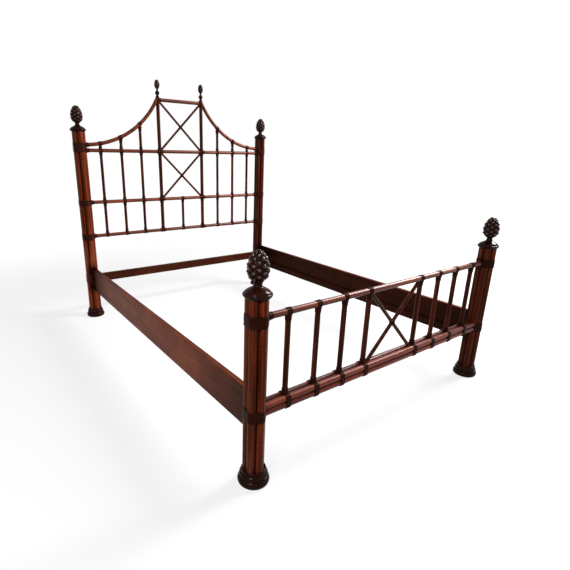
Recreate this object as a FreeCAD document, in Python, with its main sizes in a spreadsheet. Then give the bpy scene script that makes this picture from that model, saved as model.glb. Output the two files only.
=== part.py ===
import FreeCAD
import Part
import Sketcher
import math
import os
import re

# A four-post bed frame of bundled reed posts, pole-and-spindle end boards and plank side rails.
# Millimetres. The origin is on the floor under the middle of the frame, +Y runs from foot to head,
# +X is the right-hand side seen from the foot.

SIZES = {
    # post grid and general fit
    "post_spacing_x": 1600,
    "post_spacing_y": 2190,
    "clearance": 0.3,
    "overrun": 6,
    # reed posts
    "reed_count": 5,
    "reed_diameter": 34.3,
    "reed_turn": 210,
    "head_post_rise": 88,
    "foot_post_rise": 83,
    "core_tenon": 20,
    # turned feet
    "shoe_height": 68,
    "shoe_base_radius": 54.6,
    "shoe_ring_height": 30,
    "shoe_neck_radius": 51.5,
    "shoe_collar_bottom": 33,
    "shoe_collar_top": 51,
    "shoe_lip_radius": 49.2,
    "shoe_lip_bottom": 54,
    "shoe_recess_floor": 34,
    "shoe_core_floor": 12,
    # turned caps
    "cap_height": 50,
    "cap_base_radius": 48,
    "cap_rim_height": 18.5,
    "cap_step_radius": 45.2,
    "cap_dome_radius": 30,
    "cap_shoulder_radius": 27,
    "cap_shoulder_height": 31,
    "cap_cove_radius": 18,
    "cap_neck_radius": 12.5,
    "cap_neck_height": 45,
    # cone finials
    "finial_height": 127,
    "finial_radius": 36,
    "finial_scale_lift": 4.4,
    "finial_neck_radius": 11,
    "finial_neck_height": 15,
    "finial_pin_diameter": 12,
    "finial_pin_length": 22,
    "finial_scale_count": 6,
    # peel bindings on the posts
    "binding_thickness": 2.6,
    "foot_binding_rise": 4,
    "foot_top_binding": 58,
    "foot_bottom_binding": 66,
    "head_top_binding": 64,
    "head_middle_binding": 40,
    "head_lower_binding": 48,
    # poles of both end boards
    "rail_diameter": 27,
    "rail_seat_depth": 15.1,
    "upright_diameter": 27,
    "spindle_diameter": 21,
    "foot_upright_diameter": 23.5,
    "foot_spindle_diameter": 23,
    "brace_diameter": 17.5,
    "panel_half_width": 188,
    "spindle_pitch": 155,
    "wrap_thickness": 3.4,
    "wrap_length": 28,
    "flare_length": 22,
    "flare_reach": 3.5,
    "flare_edge": 2.2,
    "crest_flare_length": 48,
    # head board heights
    "head_lower_height": 637,
    "head_middle_height": 891,
    "head_upper_height": 1263.5,
    "crest_rise": 38.5,
    "crest_radius": 650,
    "top_rail_drop": 15.5,
    "upright_rise": 3,
    "crest_diameter": 27,
    # foot board heights
    "foot_top_height": 707,
    "foot_bottom_height": 326,
    "bundle_reed_diameter": 28,
    "strap_thickness": 4.2,
    # small finials on the head panel
    "knob_height": 126,
    "knob_radius": 18.5,
    "knob_bead_radius": 13,
    "knob_neck_radius": 7.5,
    "knob_base_height": 14,
    "knob_bead_height": 46,
    "knob_cone_bottom": 54,
    "knob_shoulder_radius": 11.5,
    "knob_shoulder_height": 117,
    "knob_crown_radius": 13,
    "knob_tip_radius": 1.5,
    "knob_pin_diameter": 8,
    "knob_pin_length": 14,
    # head base rail
    "base_rail_bottom": 274,
    "base_rail_height": 63,
    "base_rail_thickness": 25,
    # side rails and ledgers
    "side_rail_bottom": 231,
    "side_rail_height": 174,
    "side_rail_thickness": 27,
    "side_rail_end_gap": 0.6,
    "plank_edge_round": 3,
    "ledger_height": 45,
    "ledger_thickness": 20,
    "ledger_setback": 40,
    "ledger_screw_count": 6,
    "screw_diameter": 5,
    "screw_head_diameter": 10,
    "screw_head_height": 3.4,
    "screw_bite": 16,
    # hook hardware at the four corners
    "hook_thickness": 3,
    "hook_plate_height": 130,
    "hook_plate_depth": 40,
    "hook_tab_height": 26,
    "hook_tab_reach": 21,
    "hook_tab_inset": 5,
    "hook_notch_depth": 14,
    "hook_notch_gap": 0.4,
    "hook_pin_diameter": 6,
    "hook_pin_length": 28,
    "hook_pin_setback": 12,
    "head_pin_offset": 5,
    "foot_pin_offset": -4,
    "hook_slot_depth": 23,
    "hook_slot_gap": 1,
    "hook_lift": 14,
}

# Cone rows from the neck to the tip: height and radius, as shares of the finial's own.
CONE_ROW_SHARES = (
    (0.08, 0.36), (0.17, 0.68), (0.27, 0.91), (0.37, 1.00), (0.47, 1.02), (0.57, 0.98),
    (0.67, 0.89), (0.77, 0.75), (0.86, 0.57), (0.94, 0.36), (1.00, 0.12),
)
# Top of the neck under the cone, as a share of the cone's radius.
NECK_TOP_SHARE = 0.38
# Bulge radius of a turned ring, as a share of the height of the ring.
RING_ARC_SHARE = 0.52
LIP_ARC_SHARE = 0.75
CONE_ARC_SHARE = 3
# How far a coped pole runs past the near side of the pole it meets, as a share of that pole.
COPE_SHARE = 0.25

DOC = FreeCAD.newDocument("reed_post_bed")
SHEET = DOC.addObject("Spreadsheet::Sheet", "Sizes")
for row, (alias, size) in enumerate(SIZES.items(), start=1):
    SHEET.set(f"A{row}", alias)
    SHEET.set(f"B{row}", str(size))
    SHEET.setAlias(f"B{row}", alias)
DOC.recompute()

NODES = []


def full(text):
    """Write an expression of plain size names as one that points at the sheet."""
    return re.sub(r"[a-z_]+", lambda word: f"Sizes.{word[0]}" if word[0] in SIZES else word[0], str(text))


def number(text):
    """The value of an expression at this moment."""
    found = SHEET.evalExpression(full(text))
    return float(getattr(found, "Value", found))


def bind(thing, links):
    for name, text in links.items():
        thing.setExpression(name, full(text))


TURNS = {
    "x": FreeCAD.Rotation(FreeCAD.Vector(0, 1, 0), 90),
    "y": FreeCAD.Rotation(FreeCAD.Vector(1, 0, 0), -90),
    "z": FreeCAD.Rotation(),
    "-x": FreeCAD.Rotation(FreeCAD.Vector(0, 1, 0), -90),
    "-z": FreeCAD.Rotation(FreeCAD.Vector(1, 0, 0), 180),
}


def place(thing, x, y, z, turn=None):
    thing.Placement = FreeCAD.Placement(FreeCAD.Vector(), turn or TURNS["z"])
    bind(thing, {"Placement.Base.x": x, "Placement.Base.y": y, "Placement.Base.z": z})
    return thing


def pole(name, diameter, length, x, y, z, along="z"):
    """A round pole that starts at x, y, z and runs along an axis."""
    made = DOC.addObject("Part::Cylinder", name)
    bind(made, {"Radius": f"({diameter}) / 2", "Height": length})
    return place(made, x, y, z, TURNS[along])


def cone(name, start, end, length, x, y, z, along):
    """A round cone between two radii that starts at x, y, z and runs along an axis."""
    made = DOC.addObject("Part::Cone", name)
    bind(made, {"Radius1": start, "Radius2": end, "Height": length})
    return place(made, x, y, z, TURNS[along])


def flare(name, size, x, y, z, along, slack="0"):
    """Peel that runs out from the axis of one pole along another pole of the given diameter."""
    return cone(name, f"({size}) / 2 + flare_reach + {slack}", f"({size}) / 2 + flare_edge + {slack}",
                f"rail_diameter / 2 + flare_length + {slack}", x, y, z, along)


def block(name, across, along, up):
    """A box between two expressions on each axis."""
    made = DOC.addObject("Part::Box", name)
    sides = {"Length": across, "Width": along, "Height": up}
    bind(made, {side: f"({high}) - ({low})" for side, (low, high) in sides.items()})
    return place(made, across[0], along[0], up[0])


def group(name, members):
    made = DOC.addObject("Part::Compound", name)
    made.Links = members
    return made


def fuse(name, members):
    if len(members) == 1:
        return members[0]
    made = DOC.addObject("Part::MultiFuse", name)
    made.Shapes = members
    return made


def cut(name, stock, tools):
    """Stock pieces with every tool taken out of them."""
    made = DOC.addObject("Part::Cut", name)
    made.Base = stock[0] if len(stock) == 1 else group(f"{name}_stock", stock)
    made.Tool = fuse(f"{name}_tools", tools)
    return made


def keep(thing, label):
    """Mark a finished piece as a sub-part of its own."""
    thing.Label = label
    NODES.append(thing)
    return thing


def span(sign, near, far):
    """Low and high ends of a stretch on one side of the middle."""
    return (near, far) if sign > 0 else (f"-({far})", f"-({near})")


def arc_between(start, end, radius, inward):
    """Arc through two points; inward puts its centre on the left of the way from start to end."""
    middle = (start + end) / 2
    chord = end - start
    rise = math.sqrt(max(radius ** 2 - chord.Length ** 2 / 4, 0))
    left = FreeCAD.Vector(-chord.y, chord.x, 0).normalize()
    centre = middle + left * (rise if inward else -rise)
    first, last = (start, end) if inward else (end, start)
    circle = Part.Circle(centre, FreeCAD.Vector(0, 0, 1), radius)
    angles = [math.atan2((spot - centre).y, (spot - centre).x) for spot in (first, last)]
    return Part.ArcOfCircle(circle, angles[0], angles[1])


def outline(sketch, corners):
    """Closed outline. Each corner is across, up and the bulge of the side that leaves it:
    None for a straight side, or a radius with True for a ring and False for a cove."""
    spots = [FreeCAD.Vector(number(across), number(up), 0) for across, up, _ in corners]
    sides = []
    for index, (_, _, bulge) in enumerate(corners):
        start, end = spots[index], spots[(index + 1) % len(spots)]
        if bulge is None:
            sides.append((sketch.addGeometry(Part.LineSegment(start, end)), 1, 2))
            continue
        radius, ring = bulge
        side = sketch.addGeometry(arc_between(start, end, number(radius), ring))
        sides.append((side, 1, 2) if ring else (side, 2, 1))
        held = sketch.addConstraint(Sketcher.Constraint("Radius", side, number(radius)))
        sketch.setExpression(f"Constraints[{held}]", full(radius))
    for index, (side, first, _) in enumerate(sides):
        before, _, last = sides[index - 1]
        sketch.addConstraint(Sketcher.Constraint("Coincident", before, last, side, first))
        for kind, axis, text in (("DistanceX", -2, corners[index][0]), ("DistanceY", -1, corners[index][1])):
            if text == "0":
                sketch.addConstraint(Sketcher.Constraint("PointOnObject", side, first, axis))
                continue
            rule = Sketcher.Constraint(kind, -1, 1, side, first, number(text))
            held = sketch.addConstraint(rule)
            sketch.setExpression(f"Constraints[{held}]", full(text))


def new_sketch(body, name, role):
    sketch = body.newObject("Sketcher::SketchObject", name)
    planes = [plane for plane in body.Origin.OriginFeatures if plane.Role == role]
    sketch.AttachmentSupport = [(planes[0], "")]
    sketch.MapMode = "FlatFace"
    return sketch


def turned(name, corners, x, y, z):
    """A lathe-turned piece round its own upright axis."""
    body = DOC.addObject("PartDesign::Body", name)
    sketch = new_sketch(body, f"{name}_profile", "XZ_Plane")
    outline(sketch, corners)
    turning = body.newObject("PartDesign::Revolution", f"{name}_turning")
    turning.Profile = sketch
    turning.ReferenceAxis = (sketch, ["V_Axis"])
    turning.Angle = 360
    body.Tip = turning
    return place(body, x, y, z)


def plank(name, role, thickness, height, length, x, y, z):
    """A sawn plank with rounded long edges, standing on edge along the normal of its sketch."""
    body = DOC.addObject("PartDesign::Body", name)
    sketch = new_sketch(body, f"{name}_section", role)
    half = f"({thickness}) / 2"
    feet = [(f"-{half}", "0", None), (half, "0", None)]
    outline(sketch, [*feet, (half, height, None), (f"-{half}", height, None)])
    pad = body.newObject("PartDesign::Pad", f"{name}_pad")
    pad.Profile = sketch
    pad.SideType = "Symmetric"
    bind(pad, {"Length": length})
    body.Tip = pad
    DOC.recompute()
    long_side = max(edge.Length for edge in pad.Shape.Edges)
    names = [f"Edge{n}" for n, edge in enumerate(pad.Shape.Edges, start=1) if edge.Length > long_side / 2]
    rounding = body.newObject("PartDesign::Fillet", f"{name}_rounding")
    rounding.Base = (pad, names)
    bind(rounding, {"Radius": "plank_edge_round"})
    body.Tip = rounding
    return place(body, x, y, z)


# Shared positions
POST_X = "post_spacing_x / 2"
POST_Y = "post_spacing_y / 2"
SIDES = {"left": -1, "right": 1}
ENDS = {"head": 1, "foot": -1}
RING = "(reed_diameter + clearance) / (2 * sin(180 / reed_count))"
CLUSTER = f"({RING} + reed_diameter / 2)"
CORE = f"(2 * {RING} - reed_diameter - 2 * clearance)"
SEAT_X = f"({POST_X} - {CLUSTER} + rail_seat_depth)"
RAIL_END = f"({SEAT_X} - clearance)"
CREST_START = "(head_upper_height + crest_rise)"
SEATS = {"head": f"({CREST_START} + head_post_rise)", "foot": "(foot_top_height + foot_post_rise)"}
SPINDLE_X = [f"(panel_half_width + {step} * spindle_pitch)" for step in (1, 2, 3)]
BUNDLE_STEP = "((bundle_reed_diameter + clearance) / 2)"
WRAP_BORE = "rail_diameter + 2 * clearance"


def at(sign, text):
    return text if sign > 0 else f"-({text})"


def crest_height(x):
    """Height of the middle of a crest rail at a distance from the middle of the bed."""
    return f"({CREST_START} + crest_radius - sqrt(crest_radius ^ 2 - ({RAIL_END} - {x}) ^ 2))"


HEAD_TOP = f"({crest_height('panel_half_width')} - top_rail_drop)"
UPRIGHT_TOP = f"({crest_height('panel_half_width')} + upright_rise)"


def cross_rail(name, end, height):
    """A pole from post to post."""
    return pole(name, "rail_diameter", f"2 * {RAIL_END}", f"-{RAIL_END}", at(end, POST_Y), height, "x")


def cross_tool(name, end, height):
    """The room such a pole takes in posts, bindings and spindles."""
    return pole(name, WRAP_BORE, f"2 * {SEAT_X}", f"-{SEAT_X}", at(end, POST_Y), height, "x")


def upright_tools(name, end, bottom, top, size):
    tools = []
    for side, sign in SIDES.items():
        x = at(sign, "panel_half_width")
        tool = pole(f"{name}_{side}", f"{size} + 2 * clearance", f"({top}) - ({bottom})", x,
                    at(end, POST_Y), bottom)
        tools.append(tool)
    return tools


# Head board poles
HEAD_HEIGHTS = {"lower": "head_lower_height", "middle": "head_middle_height", "upper": "head_upper_height"}
head_tools = {key: cross_tool(f"head_{key}_tool", 1, height) for key, height in HEAD_HEIGHTS.items()}
head_post_tools = upright_tools("head_upright_tool", 1, "head_lower_height",
                                f"{UPRIGHT_TOP} + 2 * crest_diameter", "upright_diameter")

keep(cross_rail("head_lower_rail", 1, "head_lower_height"), "head_lower_rail")

COPE_OUT = f"(panel_half_width + {COPE_SHARE} * upright_diameter)"
COPE_IN = f"(panel_half_width - {COPE_SHARE} * upright_diameter)"
for key in ("middle", "upper"):
    label = f"head_{key}_rail"
    spans = []
    for piece, start, stop in (
        ("left", f"-{RAIL_END}", f"-{COPE_OUT}"),
        ("centre", f"-{COPE_IN}", COPE_IN),
        ("right", COPE_OUT, RAIL_END),
    ):
        length = f"({stop}) - ({start})"
        spans.append(pole(f"{label}_{piece}", "rail_diameter", length, start, POST_Y, HEAD_HEIGHTS[key],
                          "x"))
    keep(cut(label, spans, head_post_tools), label)

top_span = pole("head_panel_top_span", "rail_diameter", f"2 * {COPE_IN}", f"-{COPE_IN}", POST_Y,
                HEAD_TOP, "x")
keep(cut("head_panel_top_rail", [top_span], head_post_tools), "head_panel_top_rail")
top_tool = pole("head_top_tool", WRAP_BORE, "2 * panel_half_width", "-panel_half_width", POST_Y,
                HEAD_TOP, "x")

for side, sign in SIDES.items():
    x = at(sign, "panel_half_width")
    label = f"head_panel_upright_{side}"
    stock = pole(f"{label}_pole", "upright_diameter", f"{UPRIGHT_TOP} - head_lower_height", x, POST_Y,
                 "head_lower_height")
    pin_hole = pole(f"{label}_pin_hole", "knob_pin_diameter + 2 * clearance", "knob_pin_length + overrun", x,
                    POST_Y, f"{UPRIGHT_TOP} - knob_pin_length - clearance")
    keep(cut(label, [stock], [head_tools["lower"], pin_hole]), label)


# Crest rails: a quarter ring each, trimmed where it meets the panel upright
def quarter_ring(name, side, sign, diameter):
    ring = DOC.addObject("Part::Torus", name)
    bind(ring, {"Radius1": "crest_radius", "Radius2": f"({diameter}) / 2"})
    ring.Angle1 = -180
    ring.Angle2 = 180
    ring.Angle3 = 90
    stand = FreeCAD.Rotation(FreeCAD.Vector(1, 0, 0), 90)
    start = FreeCAD.Rotation(FreeCAD.Vector(0, 0, 1), -90 if sign < 0 else 180)
    return place(ring, at(sign, RAIL_END), POST_Y, f"{CREST_START} + crest_radius", stand.multiply(start))


crest_tools = []
for side, sign in SIDES.items():
    label = f"head_crest_rail_{side}"
    ring = quarter_ring(f"{label}_ring", side, sign, "crest_diameter")
    beyond = block(f"{label}_trim", span(sign, f"{RAIL_END} - crest_radius - crest_diameter", COPE_OUT),
                   (f"{POST_Y} - crest_diameter", f"{POST_Y} + crest_diameter"),
                   (CREST_START, f"{CREST_START} + 2 * crest_radius"))
    keep(cut(label, [ring], [beyond, head_post_tools[0 if sign < 0 else 1]]), label)
    crest_tools.append(quarter_ring(f"{label}_room", side, sign, "crest_diameter + 2 * clearance"))
crest_seats = [
    pole(f"head_crest_seat_{side}", "crest_diameter + 2 * clearance", "2 * rail_seat_depth",
         at(sign, SEAT_X), POST_Y, CREST_START, "-x" if sign > 0 else "x")
    for side, sign in SIDES.items()
]

# Head board spindles, coped to every rail they cross
for side, sign in SIDES.items():
    label = f"head_spindles_{side}"
    poles = []
    for step, x in enumerate(SPINDLE_X, start=1):
        poles.append(pole(f"{label}_{step}", "spindle_diameter", f"{crest_height(x)} - head_lower_height",
                          at(sign, x), POST_Y, "head_lower_height"))
    keep(cut(label, poles, [*head_tools.values(), crest_tools[0 if sign < 0 else 1]]), label)
centre = pole("head_centre_pole", "spindle_diameter", "head_middle_height - head_lower_height", "0", POST_Y,
              "head_lower_height")
short = cut("head_centre_spindle", [centre], [head_tools["lower"], head_tools["middle"]])
keep(short, "head_centre_spindle")


# Crossed braces: one whole, the other in two halves coped to it
def crossed(label, end, bottom, top, tools):
    length = f"sqrt((2 * panel_half_width) ^ 2 + (({top}) - ({bottom})) ^ 2)"
    lean = f"atan2(2 * panel_half_width; ({top}) - ({bottom}))"
    braces = []
    for name, sign, size in (
        ("whole", 1, "brace_diameter"),
        ("split", -1, "brace_diameter"),
        ("room", 1, "brace_diameter + 2 * clearance"),
    ):
        brace = pole(f"{label}_{name}", size, length, at(-sign, "panel_half_width"), at(end, POST_Y), bottom)
        brace.Placement.Rotation = FreeCAD.Rotation(FreeCAD.Vector(0, sign, 0), 45)
        bind(brace, {"Placement.Rotation.Angle": lean})
        braces.append(brace)
    whole, split, room = braces
    halves = cut(f"{label}_halves", [split], [room])
    return keep(cut(label, [whole, halves], tools), label)


def upright_flares(name, end, size, heights, slack="0"):
    """Flares on both panel uprights, each height with the ways it runs from there."""
    return [
        flare(f"{name}_{side}_{index}_{way.strip('-')}{len(way)}", size, at(sign, "panel_half_width"),
              at(end, POST_Y), height, way, slack)
        for side, sign in SIDES.items()
        for index, (height, ways) in enumerate(heights)
        for way in ways
    ]


HEAD_FLARES = (
    ("head_lower_height", ("z",)),
    ("head_middle_height", ("z", "-z")),
    ("head_upper_height", ("z", "-z")),
    (HEAD_TOP, ("-z",)),
)
head_flares = upright_flares("head_upright_flare", 1, "upright_diameter", HEAD_FLARES)
head_flare_rooms = upright_flares("head_flare_room", 1, "upright_diameter", HEAD_FLARES, "clearance")
crossed("head_upper_cross", 1, "head_upper_height", HEAD_TOP,
        [*head_post_tools, *head_flare_rooms, head_tools["upper"], top_tool])
crossed("head_lower_cross", 1, "head_middle_height", "head_upper_height",
        [*head_post_tools, *head_flare_rooms, head_tools["middle"], head_tools["upper"]])

# Peel wound round each head board joint: a sleeve on the rail that runs out along the upright poles
wound = [*head_flares]
spindle_rooms = []
for index, (sign, x) in enumerate([(sign, x) for sign in (-1, 1) for x in SPINDLE_X] + [(1, "0")]):
    where = at(sign, x)
    long = index < 2 * len(SPINDLE_X)
    for key, height in HEAD_HEIGHTS.items():
        if not long and key == "upper":
            continue
        name = f"head_{key}_wrap_{index}"
        wound.append(pole(name, "rail_diameter + 2 * wrap_thickness", "wrap_length",
                          f"{where} - wrap_length / 2", POST_Y, height, "x"))
        if long or key == "lower":
            wound.append(flare(f"{name}_up", "spindle_diameter", where, POST_Y, height, "z"))
        if key != "lower":
            wound.append(flare(f"{name}_down", "spindle_diameter", where, POST_Y, height, "-z"))
    high = "head_middle_height"
    if long:
        high = f"({crest_height(x)} + crest_diameter)"
        wound.append(cone(f"head_crest_wrap_{index}", "spindle_diameter / 2 + flare_edge",
                          "spindle_diameter / 2 + flare_reach", "crest_flare_length", where, POST_Y,
                          f"{crest_height(x)} - crest_flare_length", "z"))
    spindle_rooms.append(pole(f"head_spindle_room_{index}", "spindle_diameter + 2 * clearance",
                              f"{high} - head_lower_height", where, POST_Y, "head_lower_height"))
wound_rooms = [*spindle_rooms, *head_tools.values(), *crest_tools, *head_post_tools, top_tool]
keep(cut("head_joint_wraps", [fuse("head_wound_peel", wound)], wound_rooms), "head_joint_wraps")

# Small turned finials on the head panel uprights
KNOB = [
    ("0", "-knob_pin_length", None),
    ("knob_pin_diameter / 2", "-knob_pin_length", None),
    ("knob_pin_diameter / 2", "clearance", None),
    ("upright_diameter / 2", "clearance", None),
    ("upright_diameter / 2", "knob_base_height", None),
    ("knob_neck_radius", "knob_base_height", None),
    ("knob_neck_radius", "knob_base_height + clearance", None),
    ("knob_bead_radius / 2", "knob_base_height + 2 * clearance",
     (f"{RING_ARC_SHARE} * (knob_bead_height - knob_base_height)", True)),
    ("knob_bead_radius / 2", "knob_bead_height", None),
    ("knob_neck_radius", "knob_cone_bottom", (f"{CONE_ARC_SHARE} * knob_radius", True)),
    ("knob_shoulder_radius", "knob_shoulder_height", ("knob_crown_radius", True)),
    ("knob_tip_radius", "knob_height", None),
    ("0", "knob_height", None),
]
knobs = [
    turned(f"head_small_finial_{side}", KNOB, at(sign, "panel_half_width"), POST_Y, UPRIGHT_TOP)
    for side, sign in SIDES.items()
]
keep(group("head_small_finials", knobs), "head_small_finials")

# Head base rail, tenoned into the posts
BASE_TOP = "base_rail_bottom + base_rail_height"
base_plank = plank("head_base_plank", "YZ_Plane", "base_rail_thickness", "base_rail_height",
                   f"2 * {RAIL_END}", "0", POST_Y, "base_rail_bottom")
keep(base_plank, "head_base_rail")
base_tool = block("head_base_tool", (f"-{SEAT_X}", SEAT_X),
                  (f"{POST_Y} - base_rail_thickness / 2 - clearance",
                   f"{POST_Y} + base_rail_thickness / 2 + clearance"),
                  ("base_rail_bottom - clearance", f"{BASE_TOP} + clearance"))

# Foot board poles
keep(cross_rail("foot_top_rail", -1, "foot_top_height"), "foot_top_rail")
foot_top_tool = cross_tool("foot_top_tool", -1, "foot_top_height")
bundle = []
bundle_tools = []
for row, up in (("low", -1), ("high", 1)):
    for column, out in (("outer", -1), ("inner", 1)):
        y = f"-{POST_Y} + {out} * {BUNDLE_STEP}"
        z = f"foot_bottom_height + {up} * {BUNDLE_STEP}"
        name = f"foot_bottom_reed_{row}_{column}"
        bundle.append(pole(name, "bundle_reed_diameter", f"2 * {RAIL_END}", f"-{RAIL_END}", y, z, "x"))
        bundle_tools.append(pole(f"{name}_room", "bundle_reed_diameter + 2 * clearance", f"2 * {SEAT_X}",
                                 f"-{SEAT_X}", y, z, "x"))
keep(group("foot_bottom_rail", bundle), "foot_bottom_rail")
bundle_heart = block("foot_bottom_heart", (f"-{SEAT_X}", SEAT_X),
                     (f"-{POST_Y} - {BUNDLE_STEP}", f"-{POST_Y} + {BUNDLE_STEP}"),
                     (f"foot_bottom_height - {BUNDLE_STEP}", f"foot_bottom_height + {BUNDLE_STEP}"))
bundle_room = fuse("foot_bottom_room", [*bundle_tools, bundle_heart])

BUNDLE_TOP = f"(foot_bottom_height + {BUNDLE_STEP})"
FOOT_RISE = f"foot_top_height - {BUNDLE_TOP}"
foot_rooms = []
for side, sign in SIDES.items():
    label = f"foot_spindles_{side}"
    poles = [
        pole(f"{label}_{step}", "foot_spindle_diameter", FOOT_RISE, at(sign, x), f"-{POST_Y}", BUNDLE_TOP)
        for step, x in enumerate(SPINDLE_X, start=1)
    ]
    keep(cut(label, poles, [foot_top_tool, bundle_room]), label)
    foot_rooms += [
        pole(f"{label}_room_{step}", "foot_spindle_diameter + 2 * clearance", FOOT_RISE, at(sign, x),
             f"-{POST_Y}", BUNDLE_TOP)
        for step, x in enumerate(SPINDLE_X, start=1)
    ]
uprights = [
    pole(f"foot_panel_upright_{side}", "foot_upright_diameter", FOOT_RISE, at(sign, "panel_half_width"),
         f"-{POST_Y}", BUNDLE_TOP)
    for side, sign in SIDES.items()
]
keep(cut("foot_panel_uprights", uprights, [foot_top_tool, bundle_room]), "foot_panel_uprights")
foot_upright_tools = upright_tools("foot_upright_tool", -1, "foot_bottom_height - rail_diameter",
                                   "foot_top_height", "foot_upright_diameter")
STRAP_IN = f"({BUNDLE_STEP} + bundle_reed_diameter / 2 + clearance)"
STRAP_OUT = f"({STRAP_IN} + strap_thickness)"
STRAP_EDGE = f"({STRAP_OUT} + clearance)"
strap_rooms = [
    block(f"foot_strap_room_{side}",
          (f"{at(sign, 'panel_half_width')} - wrap_length / 2 - clearance",
           f"{at(sign, 'panel_half_width')} + wrap_length / 2 + clearance"),
          (f"-{POST_Y} - {STRAP_EDGE}", f"-{POST_Y} + {STRAP_EDGE}"),
          (f"foot_bottom_height - {STRAP_EDGE}", f"foot_bottom_height + {STRAP_EDGE}"))
    for side, sign in SIDES.items()
]
wrap_rooms = [
    pole(f"foot_wrap_room_{side}", "rail_diameter + 2 * (wrap_thickness + clearance)",
         "wrap_length + 2 * clearance", f"{at(sign, 'panel_half_width')} - wrap_length / 2 - clearance",
         f"-{POST_Y}", "foot_top_height", "x")
    for side, sign in SIDES.items()
]
FOOT_FLARES = (("foot_top_height", ("-z",)), (BUNDLE_TOP, ("z",)))
foot_flare_rooms = upright_flares("foot_flare_room", -1, "foot_upright_diameter", FOOT_FLARES, "clearance")
crossed("foot_cross", -1, "foot_bottom_height", "foot_top_height",
        [*foot_upright_tools, *foot_flare_rooms, foot_top_tool, *wrap_rooms, *strap_rooms, bundle_room])

# Wraps on the foot board's top rail and straps round its bottom bundle
FOOT_STATIONS = [
    (at(sign, x), "foot_upright_diameter" if x == "panel_half_width" else "foot_spindle_diameter")
    for sign in (-1, 1)
    for x in ("panel_half_width", *SPINDLE_X)
]
wound = []
for index, (x, size) in enumerate(FOOT_STATIONS):
    wound.append(pole(f"foot_top_wrap_{index}", "rail_diameter + 2 * wrap_thickness", "wrap_length",
                      f"{x} - wrap_length / 2", f"-{POST_Y}", "foot_top_height", "x"))
    wound.append(flare(f"foot_top_wrap_{index}_down", size, x, f"-{POST_Y}", "foot_top_height", "-z"))
keep(cut("foot_top_wraps", [fuse("foot_top_wound_peel", wound)],
         [*foot_rooms, *foot_upright_tools, foot_top_tool]), "foot_top_wraps")


def rounded_square(reach, corner):
    """Outline of a square with round corners, as corners for an outline."""
    flat = f"({reach} - ({corner}))"
    bend = (corner, True)
    return [
        (reach, f"-{flat}", None), (reach, flat, bend), (flat, reach, None), (f"-{flat}", reach, bend),
        (f"-{reach}", flat, None), (f"-{reach}", f"-{flat}", bend), (f"-{flat}", f"-{reach}", None),
        (flat, f"-{reach}", bend),
    ]


strap = DOC.addObject("PartDesign::Body", "foot_strap_tube")
strap_sketch = new_sketch(strap, "foot_strap_section", "YZ_Plane")
outline(strap_sketch, rounded_square(STRAP_OUT, "(bundle_reed_diameter / 2 + clearance + strap_thickness)"))
outline(strap_sketch, rounded_square(STRAP_IN, "(bundle_reed_diameter / 2 + clearance)"))
strap_pad = strap.newObject("PartDesign::Pad", "foot_strap_pad")
strap_pad.Profile = strap_sketch
strap_pad.SideType = "Symmetric"
bind(strap_pad, {"Length": f"2 * {RAIL_END}"})
strap.Tip = strap_pad
place(strap, "0", f"-{POST_Y}", "foot_bottom_height")
low_slabs = [
    block(f"foot_bottom_slab_{index}", (f"{x} - wrap_length / 2", f"{x} + wrap_length / 2"),
          (f"-{POST_Y} - 2 * {STRAP_OUT}", f"-{POST_Y} + 2 * {STRAP_OUT}"),
          (f"foot_bottom_height - 2 * {STRAP_OUT}", f"foot_bottom_height + 2 * {STRAP_OUT}"))
    for index, (x, _) in enumerate(FOOT_STATIONS)
]
stretches = DOC.addObject("Part::Common", "foot_bottom_stretches")
stretches.Base = strap
stretches.Tool = group("foot_bottom_slabs", low_slabs)
upright_rooms = [
    pole(f"foot_upright_room_{side}", "foot_upright_diameter + 2 * clearance", FOOT_RISE,
         at(sign, "panel_half_width"), f"-{POST_Y}", BUNDLE_TOP)
    for side, sign in SIDES.items()
]
low_flares = [
    flare(f"foot_bottom_flare_{index}", size, x, f"-{POST_Y}", BUNDLE_TOP, "z")
    for index, (x, size) in enumerate(FOOT_STATIONS)
]
keep(cut("foot_bottom_wraps", [fuse("foot_bottom_wound_peel", [stretches, *low_flares])],
         [*foot_rooms, *upright_rooms, bundle_room]), "foot_bottom_wraps")

# Hook hardware sizes
RAIL_HALF = f"({POST_Y} - {CLUSTER} - side_rail_end_gap)"
PLATE_BOTTOM = "(side_rail_bottom + (side_rail_height - hook_plate_height) / 2)"
TAB_BOTTOMS = (
    f"({PLATE_BOTTOM} + hook_tab_inset)",
    f"({PLATE_BOTTOM} + hook_plate_height - hook_tab_inset - hook_tab_height)",
)
PIN_Y = f"({POST_Y} - {CLUSTER} + hook_pin_setback)"
PIN_DROP = "hook_notch_depth - clearance - hook_pin_diameter / 2"

# Hook pins across the slots in the posts
pin_tools = {}
for end, way in ENDS.items():
    pins = []
    for side, sign in SIDES.items():
        start = f"{at(sign, POST_X)} + {end}_pin_offset - hook_pin_length / 2"
        rooms = []
        for step, bottom in enumerate(TAB_BOTTOMS):
            z = f"{bottom} + {PIN_DROP}"
            name = f"{end}_hook_pin_{side}_{step}"
            pins.append(pole(name, "hook_pin_diameter", "hook_pin_length", start, at(way, PIN_Y), z, "x"))
            rooms.append(pole(f"{name}_room", "hook_pin_diameter + 2 * clearance",
                              "hook_pin_length + 2 * clearance", f"{start} - clearance",
                              at(way, PIN_Y), z, "x"))
        pin_tools[end, side] = rooms
    keep(group(f"{end}_hook_pins", pins), f"{end}_hook_pins")

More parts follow.
